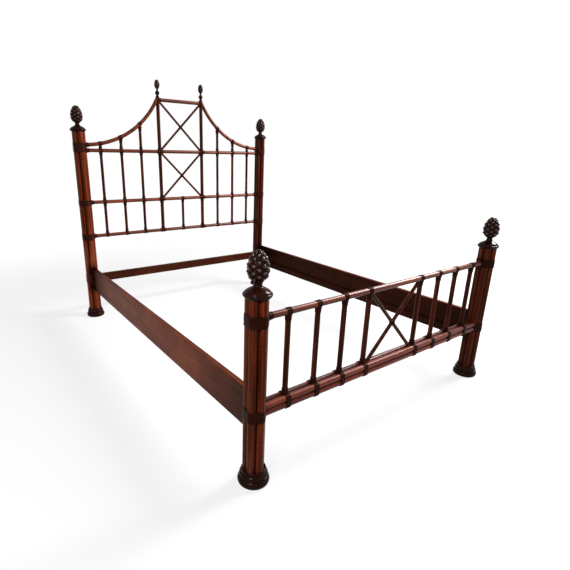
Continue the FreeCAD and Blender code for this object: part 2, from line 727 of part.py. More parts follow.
# Posts: reeds round a core on a turned foot, under a turned cap and a cone finial
SHOE = [
    ("0", "0", None),
    ("shoe_base_radius", "0", (f"{RING_ARC_SHARE} * shoe_ring_height", True)),
    ("shoe_base_radius", "shoe_ring_height", None),
    ("shoe_neck_radius", "shoe_collar_bottom",
     (f"{RING_ARC_SHARE} * (shoe_collar_top - shoe_collar_bottom)", True)),
    ("shoe_neck_radius", "shoe_collar_top", None),
    ("shoe_lip_radius", "shoe_lip_bottom", (f"{LIP_ARC_SHARE} * (shoe_height - shoe_lip_bottom)", True)),
    ("shoe_lip_radius", "shoe_height", None),
    (f"{CLUSTER} + clearance", "shoe_height", None),
    (f"{CLUSTER} + clearance", "shoe_recess_floor", None),
    (f"{CORE} / 2 + clearance", "shoe_recess_floor", None),
    (f"{CORE} / 2 + clearance", "shoe_core_floor", None),
    ("0", "shoe_core_floor", None),
]
CAP = [
    ("0", "core_tenon + clearance", None),
    (f"{CORE} / 2 + clearance", "core_tenon + clearance", None),
    (f"{CORE} / 2 + clearance", "clearance", None),
    ("cap_base_radius", "clearance", (f"{RING_ARC_SHARE} * (cap_rim_height - clearance)", True)),
    ("cap_base_radius", "cap_rim_height", None),
    ("cap_step_radius", "cap_rim_height", ("cap_dome_radius", True)),
    ("cap_shoulder_radius", "cap_shoulder_height", ("cap_cove_radius", False)),
    ("cap_neck_radius", "cap_neck_height", None),
    ("cap_neck_radius", "cap_height", None),
    ("finial_pin_diameter / 2 + clearance", "cap_height", None),
    ("finial_pin_diameter / 2 + clearance", "cap_height - finial_pin_length - clearance", None),
    ("0", "cap_height - finial_pin_length - clearance", None),
]


def cone_finial():
    """A pin and a flared neck under a cone of staggered four-sided scales."""
    count = int(number("finial_scale_count"))
    height, radius, lift = number("finial_height"), number("finial_radius"), number("finial_scale_lift")
    step = 2 * math.pi / count

    def spot(row, turn):
        share, reach = CONE_ROW_SHARES[row]
        angle = (turn + (row % 2) / 2) * step
        out = radius * reach
        return FreeCAD.Vector(out * math.cos(angle), out * math.sin(angle), height * share)

    def facet(*spots):
        return Part.Face(Part.makePolygon([*spots, spots[0]]))

    last = len(CONE_ROW_SHARES) - 1
    faces = [facet(*[spot(0, turn) for turn in reversed(range(count))])]
    faces.append(facet(*[spot(last, turn) for turn in range(count)]))
    for turn in range(count):
        faces.append(facet(spot(0, turn), spot(0, turn + 1), spot(1, turn)))
        faces.append(facet(spot(last, turn + 1), spot(last, turn), spot(last - 1, turn + last % 2)))
        for row in range(1, last):
            low, high = spot(row - 1, turn + row % 2), spot(row + 1, turn + row % 2)
            left, right = spot(row, turn), spot(row, turn + 1)
            apex = (left + right) / 2
            out = FreeCAD.Vector(apex.x, apex.y, 0).normalize()
            share = CONE_ROW_SHARES[row][1]
            apex = apex + out * (radius * share - math.hypot(apex.x, apex.y) + lift)
            apex.z = (apex.z + high.z) / 2
            for pair in ((low, right), (right, high), (high, left), (left, low)):
                faces.append(facet(*pair, apex))
    shell = Part.Shell(faces)
    shell.sewShape()
    cone = Part.Solid(shell)
    if cone.Volume < 0:
        cone.reverse()
    pin = Part.makeCylinder(number("finial_pin_diameter / 2"), number("finial_pin_length + clearance"),
                            FreeCAD.Vector(0, 0, -number("finial_pin_length")))
    neck = Part.makeCone(number("finial_neck_radius"), number(f"finial_radius * {NECK_TOP_SHARE}"),
                         number("finial_neck_height - clearance"), FreeCAD.Vector(0, 0, number("clearance")))
    return cone.fuse([pin, neck]).removeSplitter()


FINIAL = cone_finial()

BINDINGS = {
    "head": (
        ("(head_upper_height + crest_rise / 2)", "head_top_binding"),
        ("head_middle_height", "head_middle_binding"),
        ("head_lower_height", "head_lower_binding"),
    ),
    "foot": (
        ("(foot_top_height + foot_binding_rise)", "foot_top_binding"),
        ("foot_bottom_height", "foot_bottom_binding"),
    ),
}
RAIL_ENDS = {"head": (*HEAD_HEIGHTS.values(), CREST_START), "foot": ("foot_top_height",)}


def reed_hull(name, lift, height, x, y, z):
    """A prism drawn taut round the reeds of a post, standing off them by a lift."""
    corners = []
    half = "180 / reed_count"
    bend = f"(reed_diameter / 2 + {lift})"
    for turn in range(int(number("reed_count"))):
        angle = f"reed_turn + {turn} * 360 / reed_count"
        middle = (f"{RING} * cos({angle})", f"{RING} * sin({angle})")
        for swing, bulge in ((f"{angle} - {half}", (bend, True)), (f"{angle} + {half}", None)):
            corners.append((f"{middle[0]} + {bend} * cos({swing})", f"{middle[1]} + {bend} * sin({swing})",
                            bulge))
    body = DOC.addObject("PartDesign::Body", name)
    sketch = new_sketch(body, f"{name}_section", "XY_Plane")
    outline(sketch, corners)
    pad = body.newObject("PartDesign::Pad", f"{name}_pad")
    pad.Profile = sketch
    bind(pad, {"Length": height})
    body.Tip = pad
    return place(body, x, y, z)


for end, way in ENDS.items():
    seat = SEATS[end]
    for side, sign in SIDES.items():
        post = f"{end}_{side}"
        x, y = at(sign, POST_X), at(way, POST_Y)
        if end == "head":
            tools = [*head_tools.values(), base_tool, crest_seats[0 if sign < 0 else 1]]
            wound_rooms = [*head_tools.values(), crest_tools[0 if sign < 0 else 1]]
        else:
            tools = [foot_top_tool, bundle_room]
            wound_rooms = tools
        slot_side = "(hook_thickness / 2 + hook_slot_gap)"
        slot = block(f"{post}_hook_slot", (f"{x} - {slot_side}", f"{x} + {slot_side}"),
                     span(way, f"{POST_Y} - {CLUSTER} - overrun", f"{POST_Y} - {CLUSTER} + hook_slot_depth"),
                     (f"{TAB_BOTTOMS[0]} - hook_slot_gap",
                      f"{TAB_BOTTOMS[1]} + hook_tab_height + hook_lift + 2 * hook_slot_gap"))
        reeds = []
        for turn in range(int(number("reed_count"))):
            angle = f"(reed_turn + {turn} * 360 / reed_count)"
            reeds.append(pole(f"{post}_reed_{turn}", "reed_diameter",
                              f"{seat} - shoe_recess_floor - clearance",
                              f"{x} + {RING} * cos({angle})", f"{y} + {RING} * sin({angle})",
                              "shoe_recess_floor + clearance"))
        keep(cut(f"{post}_post_reeds", reeds, [*tools, slot, *pin_tools[end, side]]), f"{post}_post_reeds")
        core_length = f"{seat} + core_tenon - shoe_core_floor - clearance"
        core = pole(f"{post}_post_core", CORE, core_length, x, y, "shoe_core_floor + clearance")
        keep(core, f"{post}_post_core")
        keep(turned(f"{post}_foot", SHOE, x, y, "0"), f"{post}_foot")
        keep(turned(f"{post}_post_cap", CAP, x, y, seat), f"{post}_post_cap")
        finial = DOC.addObject("Part::Feature", f"{post}_finial")
        finial.Shape = FINIAL
        keep(place(finial, x, y, f"{seat} + cap_height"), f"{post}_finial")

        sleeves = [
            reed_hull(f"{post}_sleeve_{index}", "binding_thickness", tall, x, y, f"{centre} - {tall} / 2")
            for index, (centre, tall) in enumerate(BINDINGS[end])
        ]
        sleeves += [
            cone(f"{post}_rail_flare_{index}", "rail_diameter / 2 + flare_reach",
                 "rail_diameter / 2 + flare_edge", "rail_seat_depth + flare_length",
                 at(sign, SEAT_X), y, height, "-x" if sign > 0 else "x")
            for index, height in enumerate(RAIL_ENDS[end])
        ]
        bore = reed_hull(f"{post}_sleeve_bore", "clearance", seat, x, y, "0")
        rail_room = block(f"{post}_rail_room",
                          (f"{x} - side_rail_thickness / 2 - hook_slot_gap",
                           f"{x} + side_rail_thickness / 2 + hook_slot_gap"),
                          span(way, f"{POST_Y} - 2 * {CLUSTER}", POST_Y),
                          ("side_rail_bottom - hook_slot_gap",
                           "side_rail_bottom + side_rail_height + hook_lift + hook_slot_gap"))
        blank = fuse(f"{post}_binding_blank", sleeves)
        keep(cut(f"{post}_bindings", [blank], [bore, rail_room, *wound_rooms]), f"{post}_bindings")

# Side rails with their ledgers, screws and hook plates
for side, sign in SIDES.items():
    x = at(sign, POST_X)
    board = plank(f"{side}_rail_plank", "XZ_Plane", "side_rail_thickness", "side_rail_height",
                  f"2 * {RAIL_HALF}", x, "0", "side_rail_bottom")
    kerf_side = "(hook_thickness / 2 + clearance)"
    kerfs = []
    plates = []
    for end, way in ENDS.items():
        kerfs.append(block(f"{side}_{end}_kerf", (f"{x} - {kerf_side}", f"{x} + {kerf_side}"),
                           span(way, f"{RAIL_HALF} - hook_plate_depth - clearance",
                                f"{RAIL_HALF} + overrun"),
                           (f"{PLATE_BOTTOM} - clearance",
                            f"{PLATE_BOTTOM} + hook_plate_height + clearance")))
        thick = (f"{x} - hook_thickness / 2", f"{x} + hook_thickness / 2")
        body = block(f"{side}_{end}_hook_body", thick,
                     span(way, f"{RAIL_HALF} - hook_plate_depth", RAIL_HALF),
                     (PLATE_BOTTOM, f"{PLATE_BOTTOM} + hook_plate_height"))
        tabs = [
            block(f"{side}_{end}_hook_tab_{step}", thick,
                  span(way, f"{RAIL_HALF} - hook_plate_depth / 2", f"{RAIL_HALF} + hook_tab_reach"),
                  (bottom, f"{bottom} + hook_tab_height"))
            for step, bottom in enumerate(TAB_BOTTOMS)
        ]
        half_notch = "(hook_pin_diameter / 2 + hook_notch_gap)"
        notches = [
            block(f"{side}_{end}_hook_notch_{step}", (f"{thick[0]} - overrun", f"{thick[1]} + overrun"),
                  span(way, f"{PIN_Y} - {half_notch}", f"{PIN_Y} + {half_notch}"),
                  (f"{bottom} - overrun", f"{bottom} + hook_notch_depth"))
            for step, bottom in enumerate(TAB_BOTTOMS)
        ]
        plates.append(cut(f"{side}_{end}_hook", [fuse(f"{side}_{end}_hook_blank", [body, *tabs])], notches))
    keep(group(f"{side}_rail_hooks", plates), f"{side}_rail_hooks")

    # inward faces, as distances from the middle of the bed
    face = f"({POST_X} - side_rail_thickness / 2)"
    near = f"({face} - clearance - ledger_thickness)"
    ledger_half = f"({RAIL_HALF} - ledger_setback)"
    strip = plank(f"{side}_ledger_plank", "XZ_Plane", "ledger_thickness", "ledger_height",
                  f"2 * {ledger_half}", at(sign, f"{near} + ledger_thickness / 2"), "0", "side_rail_bottom")
    screws = []
    holes = []
    count = int(number("ledger_screw_count"))
    for step in range(count):
        y = f"{ledger_half} * ({2 * step + 1} / {count} - 1)"
        z = "side_rail_bottom + ledger_height / 2"
        way = "x" if sign > 0 else "-x"
        shank = pole(f"{side}_screw_shank_{step}", "screw_diameter", "ledger_thickness + screw_bite",
                     at(sign, near), y, z, way)
        hole = pole(f"{side}_screw_hole_{step}", "screw_diameter + 2 * clearance",
                    "ledger_thickness + screw_bite + overrun + 2 * clearance",
                    at(sign, f"{near} - overrun"), y, z, way)
        head = DOC.addObject("Part::Cone", f"{side}_screw_head_{step}")
        bind(head, {"Radius1": "screw_head_diameter / 2", "Radius2": "screw_diameter / 2",
                    "Height": "screw_head_height"})
        place(head, at(sign, near), y, z, TURNS[way])
        sink = DOC.addObject("Part::Cone", f"{side}_screw_sink_{step}")
        bind(sink, {"Radius1": "screw_head_diameter / 2 + 2 * clearance",
                    "Radius2": "screw_diameter / 2 + clearance", "Height": "screw_head_height + clearance"})
        place(sink, at(sign, near), y, z, TURNS[way])
        screws.append(fuse(f"{side}_screw_{step}", [shank, head]))
        holes.append(fuse(f"{side}_screw_room_{step}", [hole, sink]))
    keep(cut(f"{side}_ledger", [strip], holes), f"{side}_ledger")
    keep(group(f"{side}_ledger_screws", screws), f"{side}_ledger_screws")
    keep(cut(f"{side}_side_rail", [board], [*kerfs, *holes]), f"{side}_side_rail")

DOC.recompute()
for thing in DOC.Objects:
    if "Invalid" in thing.State or "Error" in thing.State:
        raise RuntimeError(f"{thing.Name} did not build: {thing.State}")
os.makedirs("parts", exist_ok=True)
for thing in NODES:
    if thing.Shape.isNull() or not thing.Shape.isValid():
        raise RuntimeError(f"{thing.Label} has no sound shape")
    thing.Shape.exportStep(f"parts/{thing.Label}.step")
    print(thing.Label, len(thing.Shape.Solids), "solids", round(thing.Shape.Volume), "mm3")
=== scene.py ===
# %% [markdown]
# # A four-post bed of stained cane
# The bed has posts bundled from reeds, a head board and a foot board of poles and spindles, cone
# finials on turned caps, and plank side rails that lift off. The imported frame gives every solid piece
# its place and size. This lesson gives those pieces their finishes and adds what a joiner's drawing
# leaves out: the scales of the cones, the turned mouldings, and the peel wound round the joints.

# %% Load the frame
import math
import random

import bmesh
import bpy
from mathutils import Matrix, Vector


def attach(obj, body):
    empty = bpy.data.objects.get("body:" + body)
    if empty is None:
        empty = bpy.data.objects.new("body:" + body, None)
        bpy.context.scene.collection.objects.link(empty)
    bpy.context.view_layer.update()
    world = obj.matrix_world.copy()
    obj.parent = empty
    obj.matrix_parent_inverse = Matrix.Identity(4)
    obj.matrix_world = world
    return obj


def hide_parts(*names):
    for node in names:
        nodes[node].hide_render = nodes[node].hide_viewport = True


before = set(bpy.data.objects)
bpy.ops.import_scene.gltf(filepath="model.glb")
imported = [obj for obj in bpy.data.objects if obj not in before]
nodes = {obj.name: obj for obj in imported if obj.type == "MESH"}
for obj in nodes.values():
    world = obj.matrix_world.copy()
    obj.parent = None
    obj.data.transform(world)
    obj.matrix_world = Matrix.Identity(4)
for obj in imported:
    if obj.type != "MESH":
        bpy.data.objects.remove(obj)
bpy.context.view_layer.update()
scene = bpy.context.scene

# %% [markdown]
# ## Sizes shared by the pieces
# Every new piece is placed from the same few sizes that the solids were drawn from, in metres. The
# posts stand on a grid, and the five reeds of a post lie on a circle that just lets neighbours touch.

# %% Shared sizes
POST_X, POST_Y = 0.800, 1.095
REED_COUNT = 5
REED_RADIUS = 0.01715
REED_RING = 0.02943
REED_TURN = math.radians(210)
REED_STEP = math.radians(72)
POST_RADIUS = REED_RING + REED_RADIUS
POLE_RADIUS = 0.0135
BUNDLE_STEP = 0.01415
PANEL_X = 0.188
SPINDLE_X = (0.343, 0.498, 0.653)
HEAD_LOWER, HEAD_MIDDLE, HEAD_UPPER, HEAD_TOP = 0.637, 0.891, 1.2635, 1.6435
CREST_START = 1.302
FOOT_TOP, FOOT_BOTTOM = 0.707, 0.326
SEAT = {"head": 1.390, "foot": 0.790}
END_Y = {"head": POST_Y, "foot": -POST_Y}
SIDE_X = {"left": -POST_X, "right": POST_X}
posts = [(end, side, SIDE_X[side], END_Y[end]) for end in END_Y for side in SIDE_X]
print("posts", len(posts))

# %% [markdown]
# ## Helpers
# A turned piece starts as a half outline that is spun round an axis. A small piece that comes back many
# times is modelled once and stamped at each place. Each finished piece keeps its object at the origin,
# with its place in its mesh, and rides on one of the frame's bodies.

# %% Spin a half outline
MM_PER_M = 1000
SAME_POINT = 1e-6


def keep_mesh(bm):
    """Close the seams of a bmesh, turn its faces outwards and keep it as a mesh."""
    bmesh.ops.remove_doubles(bm, verts=bm.verts, dist=SAME_POINT)
    bmesh.ops.recalc_face_normals(bm, faces=bm.faces)
    mesh = bpy.data.meshes.new("stamp")
    bm.to_mesh(mesh)
    bm.free()
    return mesh


def spun(profile, steps, closed=False):
    """Mesh of a half outline, radius and height in millimetres, spun round the upright axis."""
    bm = bmesh.new()
    line = [bm.verts.new((radius / MM_PER_M, 0, height / MM_PER_M)) for radius, height in profile]
    edges = [bm.edges.new(pair) for pair in zip(line, line[1:])]
    if closed:
        edges.append(bm.edges.new((line[-1], line[0])))
    bmesh.ops.spin(bm, geom=line + edges, cent=(0, 0, 0), axis=(0, 0, 1), angle=math.tau, steps=steps,
                   use_merge=True, use_duplicate=False)
    return keep_mesh(bm)


# %% Stamp a copy at a place
def stamp(bm, mesh, matrix):
    """Put a copy of a mesh into a bmesh at a place."""
    before = len(bm.verts)
    bm.from_mesh(mesh)
    bm.verts.ensure_lookup_table()
    bmesh.ops.transform(bm, matrix=matrix, verts=bm.verts[before:])


def at(x, y, z, turn=None):
    """Matrix of a place, with a turn where one is given."""
    place = Matrix.Translation((x, y, z))
    return place @ turn.to_4x4() if turn else place


def facing(*direction):
    """Turn that points a stamp's upright axis along a direction."""
    return Vector(direction).to_track_quat("Z", "Y").to_matrix()


# %% Finish a piece
def finish(name, bm, material, stands_for=(), body="end_boards", sharp=50):
    """Make an object of a bmesh, with its finish, and let it ride on a body."""
    mesh = bpy.data.meshes.new(name)
    bm.to_mesh(mesh)
    bm.free()
    for face in mesh.polygons:
        face.use_smooth = True
    mesh.set_sharp_from_angle(angle=math.radians(sharp))
    piece = bpy.data.objects.new(name, mesh)
    scene.collection.objects.link(piece)
    mesh.materials.append(material)
    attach(piece, body)
    if stands_for:
        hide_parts(*stands_for)
    print(name, len(mesh.polygons), "faces")
    return piece


# %% [markdown]
# ## The stained cane
# Peeled cane takes a red-brown stain unevenly: it runs dark in the grain, and every cane has a tone and
# joints of its own. The finish reads Object coordinates, stretched along the pole, so that the streaks
# follow each cane. The front poles of the bundle at the foot are painted lighter and the rear ones
# darker, as painted light and shade. A satin lacquer lies over it all, with more gloss on the level
# poles than on the upright ones.

# %% Nodes that count and colour
def new_finish(name):
    material = bpy.data.materials.new(name)
    material.use_nodes = True
    tree = material.node_tree
    return material, tree, tree.nodes["Principled BSDF"]


def sums(tree, operation, first, second=None):
    """Math node; each value is a number or an output to read."""
    node = tree.nodes.new("ShaderNodeMath")
    node.operation = operation
    for socket, value in zip(node.inputs, (first, second)):
        if isinstance(value, (int, float)):
            socket.default_value = value
        elif value is not None:
            tree.links.new(value, socket)
    return node.outputs[0]


def grey(value):
    return (value, value, value)


def greys(*stops):
    """Stops of plain grey for a ramp, from pairs of place and brightness."""
    return [(place, grey(value)) for place, value in stops]


def ramp(tree, factor, stops):
    """Colour ramp; each stop is a place and a colour."""
    node = tree.nodes.new("ShaderNodeValToRGB")
    node.color_ramp.elements.remove(node.color_ramp.elements[1])
    for index, (place, colour) in enumerate(stops):
        element = node.color_ramp.elements[0] if index == 0 else node.color_ramp.elements.new(place)
        element.position = place
        element.color = (*colour, 1)
    tree.links.new(factor, node.inputs[0])
    return node.outputs[0]


def colour_mix(tree, blend):
    """Mix node for colours: its factor, its two colours and its result."""
    node = tree.nodes.new("ShaderNodeMix")
    node.data_type = "RGBA"
    node.blend_type = blend
    return node.inputs[0], node.inputs[6], node.inputs[7], node.outputs[2]


def shaded(tree, colour, factor, stops):
    """A colour multiplied by a ramp."""
    amount, under, over, result = colour_mix(tree, "MULTIPLY")
    amount.default_value = 1.0
    tree.links.new(colour, under)
    tree.links.new(ramp(tree, factor, stops), over)
    return result


# %% Nodes that read a place and draw a pattern
X_AXIS, Y_AXIS, Z_AXIS = range(3)
JOINT_SCATTER, JOINT_WIDTH = 9.7, 0.012


def places(tree):
    """Object coordinates of a point, one output for each axis."""
    spot = tree.nodes.new("ShaderNodeTexCoord")
    split = tree.nodes.new("ShaderNodeSeparateXYZ")
    tree.links.new(spot.outputs["Object"], split.inputs[0])
    return split.outputs


def streaks(tree, stretch, detail=6.0):
    """Noise drawn out along a direction: stretch is the pattern's frequency along x, y and z."""
    spot = tree.nodes.new("ShaderNodeTexCoord")
    lie = tree.nodes.new("ShaderNodeMapping")
    lie.inputs["Scale"].default_value = stretch
    noise = tree.nodes.new("ShaderNodeTexNoise")
    noise.inputs["Scale"].default_value = 1.0
    noise.inputs["Detail"].default_value = detail
    noise.inputs["Roughness"].default_value = 0.6
    tree.links.new(spot.outputs["Object"], lie.inputs["Vector"])
    tree.links.new(lie.outputs[0], noise.inputs["Vector"])
    return noise.outputs["Fac"]


def eased(tree, value, low, high):
    """Nought below one value, one above the other, with a smooth step between."""
    node = tree.nodes.new("ShaderNodeMapRange")
    node.interpolation_type = "SMOOTHSTEP"
    node.inputs["From Min"].default_value = low
    node.inputs["From Max"].default_value = high
    tree.links.new(value, node.inputs["Value"])
    return node.outputs["Result"]


def chance(tree, which):
    """A random value for each whole number."""
    node = tree.nodes.new("ShaderNodeTexWhiteNoise")
    node.noise_dimensions = "1D"
    tree.links.new(which, node.inputs["W"])
    return node.outputs["Value"]


def cane_joints(tree, along, luck, pitch):
    """Falls to nought on the thin lines where a cane has its joints."""
    scatter = sums(tree, "MULTIPLY", luck, JOINT_SCATTER)
    shifted = sums(tree, "ADD", sums(tree, "DIVIDE", along, pitch), scatter)
    return eased(tree, sums(tree, "PINGPONG", shifted, 0.5), 0.0, JOINT_WIDTH)


# %% Lacquer
GLOSS = "Specular IOR Level"


def lacquer(tree, shader, colour, rough, height, depth, gloss):
    """Join colour, roughness and bump to the shader, with a lacquer of some gloss."""
    tree.links.new(colour, shader.inputs["Base Color"])
    tree.links.new(rough, shader.inputs["Roughness"])
    bump = tree.nodes.new("ShaderNodeBump")
    bump.inputs["Strength"].default_value = 0.6
    bump.inputs["Distance"].default_value = depth
    tree.links.new(height, bump.inputs["Height"])
    tree.links.new(bump.outputs[0], shader.inputs["Normal"])
    shader.inputs[GLOSS].default_value = gloss


def grain_and_joints(tree, grain, joint):
    """Height of a cane's skin: fine grain, and a dip at each joint."""
    return sums(tree, "ADD", sums(tree, "MULTIPLY", grain, 0.5), joint)


# %% Cane of poles, spindles and braces
SPINDLE_STAIN = (
    (0.30, (0.015, 0.0024, 0.0009)), (0.50, (0.061, 0.0095, 0.0030)), (0.70, (0.148, 0.030, 0.0093)))
RAIL_STAIN = (
    (0.28, (0.047, 0.0074, 0.0026)), (0.50, (0.152, 0.027, 0.0074)), (0.74, (0.280, 0.064, 0.0185)))
POLE_JOINT_PITCH = 0.36
POLE_GRAIN_DEPTH = 0.00004


def cane(name, stretch, stain, gloss, cell=None, axis=Z_AXIS, wear_and_painted_light=None):
    """Stained cane with its streaks along one direction; a cell tells neighbouring canes apart."""
    material, tree, shader = new_finish(name)
    spots = places(tree)
    grain = streaks(tree, stretch, 3.6)
    tone = streaks(tree, (2.3, 2.3, 2.3), 2.0)
    colour = shaded(tree, ramp(tree, grain, stain), tone, greys((0.30, 0.62), (0.70, 1.0)))
    height = grain
    if cell:
        source, size, shift = cell
        step = sums(tree, "ADD", sums(tree, "DIVIDE", spots[source], size), shift)
        luck = chance(tree, sums(tree, "FLOOR", step))
        joint = cane_joints(tree, spots[axis], luck, POLE_JOINT_PITCH)
        colour = shaded(tree, colour, luck, greys((0.0, 0.78), (1.0, 1.08)))
        colour = shaded(tree, colour, joint, ((0.0, (0.5, 0.45, 0.45)), (1.0, grey(1.0))))
        height = grain_and_joints(tree, grain, joint)
    # Painted light and shade: across the bundle, the front poles are painted lighter and the rear ones
    # darker.
    if wear_and_painted_light:
        across, start, end, front, rear = wear_and_painted_light
        depth = eased(tree, spots[across], start, end)
        colour = shaded(tree, colour, depth, ((0.0, front), (1.0, rear)))
    rough = ramp(tree, grain, greys((0.2, 0.38), (0.8, 0.34)))
    lacquer(tree, shader, colour, rough, height, POLE_GRAIN_DEPTH, gloss)
    return material


# %% Five cane finishes
FINE, LONG = 95, 3.2
UPRIGHT, LEVEL = (FINE, FINE, LONG), (LONG, FINE, FINE)
SPINDLE_CELL = (X_AXIS, 0.155, 0.4)
RAIL_CELL = (Z_AXIS, 0.1316, 0.0)
BUNDLE_CELL = (Z_AXIS, 2 * BUNDLE_STEP, 0.48)
# The bundle's front poles are painted lighter and its rear poles darker, as painted light and shade.
BUNDLE_PAINTED_LIGHT_AND_SHADE = (Y_AXIS, -POST_Y - 0.004, -POST_Y + 0.002, (1.5, 1.1, 1.0), (0.86, 0.64, 0.58))
upright_cane = cane("upright_cane", UPRIGHT, SPINDLE_STAIN, 0.05, SPINDLE_CELL)
cross_cane = cane("cross_cane", LEVEL, RAIL_STAIN, 0.205, RAIL_CELL, X_AXIS)
bundle_cane = cane("bundle_cane", LEVEL, RAIL_STAIN, 0.22, BUNDLE_CELL, X_AXIS, BUNDLE_PAINTED_LIGHT_AND_SHADE)
bent_cane = cane("bent_cane", (30, 90, 30), RAIL_STAIN, 0.13)
brace_cane = cane("brace_cane", (40, 90, 40), SPINDLE_STAIN, 0.07)
canes = (upright_cane, cross_cane, bundle_cane, bent_cane, brace_cane)
print("cane finishes", [one.name for one in canes])

# %% [markdown]
# ## Reeds of the posts
# In a post the grooves between the five reeds are painted darker and the crowns lighter, partly stain
# settled in the grooves and partly painted shade between the reeds. How far a point lies from the axis
# of its post tells a groove from a crown, and the signs of x and y tell which post it is on, so one
# material serves all four. Each reed has a tone of its own, with faint joints along the reed. Each post
# is painted lighter or darker as painted light and shade, and the reeds are painted darker in the
# corners where the side rails meet the posts, as painted shade.

# %% Where a point lies on its post
reed_cane, tree, shader = new_finish("reed_cane")
x, y, z = places(tree)
side_sign, end_sign = sums(tree, "SIGN", x), sums(tree, "SIGN", y)
out_x = sums(tree, "SUBTRACT", x, sums(tree, "MULTIPLY", side_sign, POST_X))
out_y = sums(tree, "SUBTRACT", y, sums(tree, "MULTIPLY", end_sign, POST_Y))
squares = sums(tree, "ADD", sums(tree, "MULTIPLY", out_x, out_x), sums(tree, "MULTIPLY", out_y, out_y))
reach = sums(tree, "SQRT", squares)
# Grooves between the reeds are painted darker than the crowns: partly settled stain, partly painted
# shade between the reeds.
crown = eased(tree, reach, 0.0300, 0.0390)
print("reed radius", REED_RADIUS, "on a ring of", REED_RING)

# %% Which reed and which post
FIRST_GROOVE = REED_TURN - REED_STEP / 2 - math.tau
SIDE_MARK, END_MARK = 7.3, 17.9
FURTHEST_MARK = SIDE_MARK + END_MARK
angle = sums(tree, "ARCTAN2", out_y, out_x)
grooves_passed = sums(tree, "DIVIDE", sums(tree, "SUBTRACT", angle, FIRST_GROOVE), REED_STEP)
reed = sums(tree, "MODULO", sums(tree, "FLOOR", grooves_passed), REED_COUNT)
side_mark = sums(tree, "MULTIPLY", side_sign, SIDE_MARK)
end_mark = sums(tree, "MULTIPLY", end_sign, END_MARK)
which_post = sums(tree, "ADD", side_mark, end_mark)
luck = chance(tree, sums(tree, "ADD", reed, which_post))
print("marks of the posts up to", FURTHEST_MARK)

# %% Painted shade in the corners beside the side rails
RAIL_MIDDLE = 0.318
RAIL_FADE = (0.150, 0.080)
CORNER_FADE = (0.002, 0.034)
from_rail = sums(tree, "ABSOLUTE", sums(tree, "SUBTRACT", z, RAIL_MIDDLE))
to_rail = sums(tree, "MULTIPLY", sums(tree, "MULTIPLY", out_y, end_sign), -1.0)
painted_corner_shade = sums(tree, "MULTIPLY", eased(tree, to_rail, *CORNER_FADE), eased(tree, from_rail, *RAIL_FADE))
print("corners darkest at", RAIL_MIDDLE)

# %% Reed finish
REED_STAIN = (
    (0.32, (0.027, 0.0039, 0.0012)), (0.50, (0.089, 0.0137, 0.0034)), (0.70, (0.193, 0.040, 0.0107)))
# Painted light and shade: each post's reeds are painted lighter or darker, as the light falls on that
# post.
LEFT_FOOT, RIGHT_FOOT, LEFT_HEAD, RIGHT_HEAD = (0.0, 1.12), (0.2, 0.82), (0.8, 1.70), (1.0, 0.58)
POST_PAINTED_LIGHT = greys(LEFT_FOOT, RIGHT_FOOT, LEFT_HEAD, RIGHT_HEAD)
REED_JOINT_PITCH = 0.41
REED_GRAIN_DEPTH = 0.0001
REED_GLOSS = 0.05
grain = streaks(tree, (FINE, FINE, 3.0))
joint = cane_joints(tree, z, luck, REED_JOINT_PITCH)
post_place = eased(tree, which_post, -FURTHEST_MARK, FURTHEST_MARK)
colour = ramp(tree, grain, REED_STAIN)
for factor, stops in (
    # Darker grooves, lighter crowns: partly settled stain, partly painted shade.
    (crown, ((0.0, (0.62, 0.56, 0.56)), (0.5, grey(0.88)), (1.0, grey(1.04)))),
    (luck, greys((0.0, 0.74), (1.0, 1.10))),
    # Painted light and shade for each post.
    (post_place, POST_PAINTED_LIGHT),
    (joint, ((0.0, (0.55, 0.5, 0.5)), (1.0, grey(1.0)))),
    # Painted shade in the corners beside the side rails.
    (painted_corner_shade, ((0.0, grey(1.0)), (1.0, (0.32, 0.28, 0.27)))),
):
    colour = shaded(tree, colour, factor, stops)
rough = ramp(tree, grain, greys((0.2, 0.34), (0.8, 0.22)))
lacquer(tree, shader, colour, rough, grain_and_joints(tree, grain, joint), REED_GRAIN_DEPTH, REED_GLOSS)
print("reed finish nodes", len(tree.nodes))

# %% [markdown]
# ## Planks, turnings, peel and steel
# The planks are sawn boards with the same stain. The side rails are painted darker and duller towards
# the head end, a painted shade, and their top edges are painted paler, as painted light from above.
# Feet, caps and finials are turned from a wood stained almost black; the knobs of the cones are paler,
# partly worn through and partly a painted highlight. The peel bindings are dark and dry. Hooks, pins
# and screws are blued steel, and the cores hidden in the posts are bare wood.

# %% Planks
PLANK_STAIN = (
    (0.30, (0.025, 0.0053, 0.0021)), (0.52, (0.046, 0.0104, 0.0041)), (0.75, (0.074, 0.020, 0.0081)))
PLANK_BLOTCH = ((0.36, grey(0.78)), (0.64, (1.22, 1.24, 1.20)))
PLANK_GLOSS = 0.035
RAIL_TOP_EDGE = (0.4005, 0.4048)
TOP_EDGE_PAINTED_LIGHT = ((0.0, grey(1.0)), (1.0, (1.6, 1.4, 1.3)))
# Painted shade on the side rails towards the head end: a darker colour and less gloss.
PAINTED_SHADE_TO_HEAD = greys((0.45, 1.0), (0.65, 0.78), (0.82, 0.60), (0.91, 0.46), (0.96, 0.28), (1.0, 0.16))
DULLER_TO_HEAD = greys((0.45, PLANK_GLOSS), (0.65, 0.024), (0.82, 0.013), (0.91, 0.007), (0.97, 0.0))


